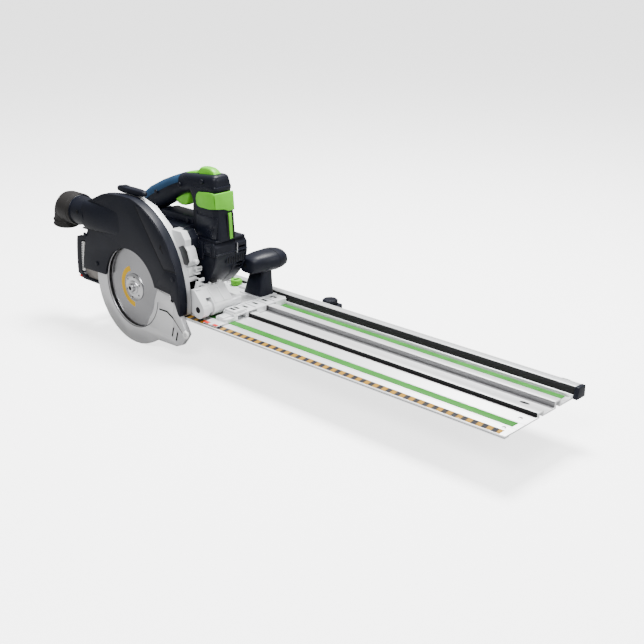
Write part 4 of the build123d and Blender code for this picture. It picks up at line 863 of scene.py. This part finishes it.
def make_handle():
    whole_grip = grip_rings(1.0, 0, 360, 48, len(GRIP_SECTIONS))
    grip = place(build(whole_grip), "handle_grip_body", NAVY, "saw_unit")
    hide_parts("handle_shell_near", "handle_shell_far")
    rings = []
    outer = grip_rings(1.03, 8, 172, 40, 7)
    inner = grip_rings(0.93, 8, 172, 40, 7)
    for out_ring, in_ring in zip(outer, inner):
        rings.append(out_ring + in_ring[::-1])
    soft = place(build(rings), "soft_grip_skin", BLUE_RUBBER, "saw_unit", 0.4, 2)
    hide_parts("soft_grip")
    column_sections = ((112.6, 87, 142.6, 18.0), (128, 86, 141.3, 18.0), (150, 84.8, 139.4, 18.0),
                       (166, 83.5, 137.4, 18.0), (176, 79, 135.2, 18.0), (183, 74, 135.0, 18.0),
                       (190, 68, 135.8, 18.0), (197, 63, 134.6, 17.4))
    column = loft_up([(z, x0, x1, GRIP_Y, half) for z, x0, x1, half in column_sections], 6.0, 64)
    place(column, "handle_column", NAVY, "saw_unit")
    head_rings = []
    for lift, inset in ((0, 0.0), (2.5, 0.2), (6.5, 1.2), (9.0, 3.4), (10.2, 7.0)):
        ring = []
        for u, v in superellipse(1, 1, 5.0, 64):
            x = 95.5 + u * (39.5 - inset * 1.2)
            slope = (x - 55) / 80
            ring.append((x, GRIP_Y + v * (17.9 - inset), 189.5 + 7.5 * slope + lift))
        head_rings.append(ring)
    place(build(head_rings), "handle_head", NAVY, "saw_unit")
    collar = []
    for z, grow in ((184.6, 0.0), (185.4, 0.8), (189.4, 0.9), (190.4, 0.0)):
        collar.append([(105 + u * (31.0 + grow), GRIP_Y + v * (17.9 + grow * 0.15), z)
                       for u, v in superellipse(1, 1, 6, 64)])
    place(build(collar), "handle_head_lip", NAVY_GLOSS, "saw_unit")
    foot = box((-66, 86), (27, 97), (113.5, 128))
    place(foot, "handle_foot", NAVY, "saw_unit", 3.0, 4)
    ridge = slab([(-40, 126), (84, 126), (86, 139), (14, 139.5), (-6, 134)], 46, 78)
    place(ridge, "handle_foot_ridge", NAVY, "saw_unit", 3.5, 4)
    bar = slab([(84.5, 118), (96, 118), (96, 160), (84.0, 160)], 46, 78)
    place(bar, "handle_column_back", NAVY, "saw_unit", 2.5, 4)
    side = slab([(96.5, 152.5), (97.5, 148.6), (104, 147.4), (133, 146.8), (141.4, 148), (137.0, 112.8),
                 (92, 112.8)], 43.2, 44.6)
    place(side, "column_side_panel", NAVY_GLOSS, "saw_unit", 0.5, 3)
    # Painted shade: thin black strips on the column front stand for the shade inside its slots.
    slot = [(142.2, 114.5), (140.4, 150), (141.1, 150), (142.9, 114.5)]
    front_slots = [slab(slot, y, y + 3.2) for y in (61.5, 71.5)]
    place(joined(front_slots), "column_front_slot_shade", SHADE_SEAM_PRINT_BLACK, "saw_unit", 0.2, 2)
    stripe = slab([(141.6, 114.0), (139.0, 152), (141.4, 152), (143.3, 114.0)], 65.0, 70.6)
    place(stripe, "column_green_stripe", GREEN, "saw_unit", 0.5, 3)
    skin("trigger_switch", NAVY, 0.3, 2)
    skin("control_board", BOARD_GREEN, 0)
    skin("battery_terminals", COPPER, 0)
    skin("trigger_pin", STEEL, 0)


def make_controls():
    trigger_rings = []
    points = [(36, 162), (36.5, 156), (41, 151.2), (50, 149.6), (58, 150.4), (63, 154), (67, 163),
              (69.6, 172), (69, 181), (60, 181), (46, 170)]
    for y, shrink in ((53.9, 0.86), (54.6, 0.95), (56.5, 1.0), (67.5, 1.0), (69.4, 0.95), (70.1, 0.86)):
        trigger_rings.append([(54 + (x - 54) * shrink, y, 162 + (z - 162) * shrink) for x, z in points])
    trigger = place(build(trigger_rings), "trigger_blade", GREEN, "trigger_lever", 1.0, 3)
    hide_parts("trigger")
    rings = []
    top = [(62.5, 201.6), (74, 204.4), (86, 206.6), (90, 209.6), (94, 213.2), (104, 214.4),
           (114, 213.8), (121, 210.9), (124.6, 207.0)]
    for y, drop in ((55.2, 4.0), (56.2, 1.4), (58.5, 0.3), (62, 0.0), (65.5, 0.3), (67.8, 1.4),
                    (68.8, 4.0)):
        rings.append([(x, y, z - drop * 0.8) for x, z in top] + [(124.6, y, 199.0), (62.5, y, 197.0)])
    button = place(build(rings), "lock_button_cap", GREEN, "lock_off_button", 0.5, 3)
    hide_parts("lock_button")
    near = slab([(98.4, 163), (97.4, 170), (99, 176.5), (103.5, 180.6), (118, 182.4), (135.5, 183.0),
                 (139.0, 177), (139.6, 170), (140.2, 161.0), (126, 158.6), (106, 158.8),
                 (100.6, 160.2)], 41.6, 43.7)
    front = build([
        [(138.3, y, low), (137.2, y, 170), (136.2, y, 180), (137.3, y, 182.6), (139.4, y, 182.2),
         (140.2, y, 170), (141.2, y, low)] for y, low in ((41.6, 161), (58, 158.5), (66, 155), (77, 155))])
    lever = place(joined([near, front]), "release_lever_panel", GREEN, "blade_change_lever",
                  0.7, 3)
    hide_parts("release_lever")


# ---------------------------------------------------------------- battery
def make_battery():
    skin("battery_pack", NAVY, 3.0, 4)
    skin("battery_latch", GREEN, 0.8, 3)
    low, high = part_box("battery_pack")
    x0, x1 = low.x / MM, high.x / MM
    ribs = [box((x0 + 12 + 9 * k, x0 + 16 + 9 * k), side, (60, 100))
            for side in ((26.7, 28.2), (95.8, 97.2)) for k in range(7)]
    place(joined(ribs), "battery_side_ribs", NAVY, "battery", 0.6, 3)
    seam = box((x0 - 0.4, x1 + 0.4), (26.6, 97.3), (78, 79.2))
    place(seam, "battery_seam", SHADE_SEAM_PRINT_BLACK, "battery", 0.2, 2)


# ---------------------------------------------------------------- stage
FLOOR_REACH = 9000


def aim(item, target):
    """Point an object's -Z at a place."""
    direction = Vector(target) - item.location
    item.rotation_euler = direction.to_track_quat("-Z", "Y").to_euler()


def make_stage():
    """Floor, world and lamps. The camera sees floor and world brighter than they light the saw."""
    reach = (-FLOOR_REACH, FLOOR_REACH)
    level = FLOOR_Z / MM
    floor = bpy.data.objects.new("floor", box(reach, reach, (level - 4, level - 0.3)))
    bpy.context.scene.collection.objects.link(floor)
    surface = new_material("studio floor", (0.9, 0.9, 0.9), 0.9, 0.0, 0.05)
    shader = surface.node_tree.nodes["Principled BSDF"]
    shader.inputs["Emission Color"].default_value = (1, 1, 1, 1)
    seen = add_node(surface, "ShaderNodeLightPath")
    glow = add_node(surface, "ShaderNodeMath", operation="MULTIPLY")
    glow.inputs[1].default_value = 2.2
    surface.node_tree.links.new(seen.outputs["Is Camera Ray"], glow.inputs[0])
    shade = add_node(surface, "ShaderNodeMapRange")
    shade.inputs["To Min"].default_value = 0.3
    shade.inputs["To Max"].default_value = 0.92
    surface.node_tree.links.new(seen.outputs["Is Camera Ray"], shade.inputs["Value"])
    surface.node_tree.links.new(shade.outputs["Result"], shader.inputs["Base Color"])
    surface.node_tree.links.new(glow.outputs["Value"], shader.inputs["Emission Strength"])
    floor.data.materials.append(surface)
    world = bpy.data.worlds.new("studio")
    world.use_nodes = True
    world.node_tree.nodes["Background"].inputs["Color"].default_value = (1, 1, 1, 1)
    strength = world.node_tree.nodes["Background"].inputs["Strength"]
    ray = world.node_tree.nodes.new("ShaderNodeLightPath")
    spread = world.node_tree.nodes.new("ShaderNodeMapRange")
    spread.inputs["To Min"].default_value = 0.42
    spread.inputs["To Max"].default_value = 7.0
    world.node_tree.links.new(ray.outputs["Is Camera Ray"], spread.inputs["Value"])
    world.node_tree.links.new(spread.outputs["Result"], strength)
    bpy.context.scene.world = world
    for name, place_at, size, power in (
        ("key", (1.0, -1.4, 1.6), 0.7, 46),
        ("top", (0.1, 0.45, 1.8), 0.7, 120),
        ("front", (1.7, 0.6, 0.9), 0.8, 16),
    ):
        light = bpy.data.lights.new(name, "AREA")
        light.energy = power
        light.size = size
        lamp = bpy.data.objects.new(name, light)
        lamp.location = place_at
        bpy.context.scene.collection.objects.link(lamp)
        aim(lamp, (0.1, 0.05, 0.05))


def make_camera():
    lens = bpy.data.cameras.new("photo view")
    lens.lens = 58.80
    lens.sensor_width = 36.0
    lens.clip_start = 0.01
    camera = bpy.data.objects.new("camera", lens)
    camera.location = (1.24105, -0.90148, 0.53487)
    camera.rotation_euler = (math.radians(90 - 20.625), 0, math.radians(43.475))
    bpy.context.scene.collection.objects.link(camera)
    bpy.context.scene.camera = camera


make_rail()
make_angle_stop()
make_base()
make_front_handle()
make_tilt_frame()
make_blade()
make_guard()
make_cover()
make_top_lever()
make_dust_port()
make_motor()
make_handle()
make_controls()
make_battery()
make_stage()
make_camera()
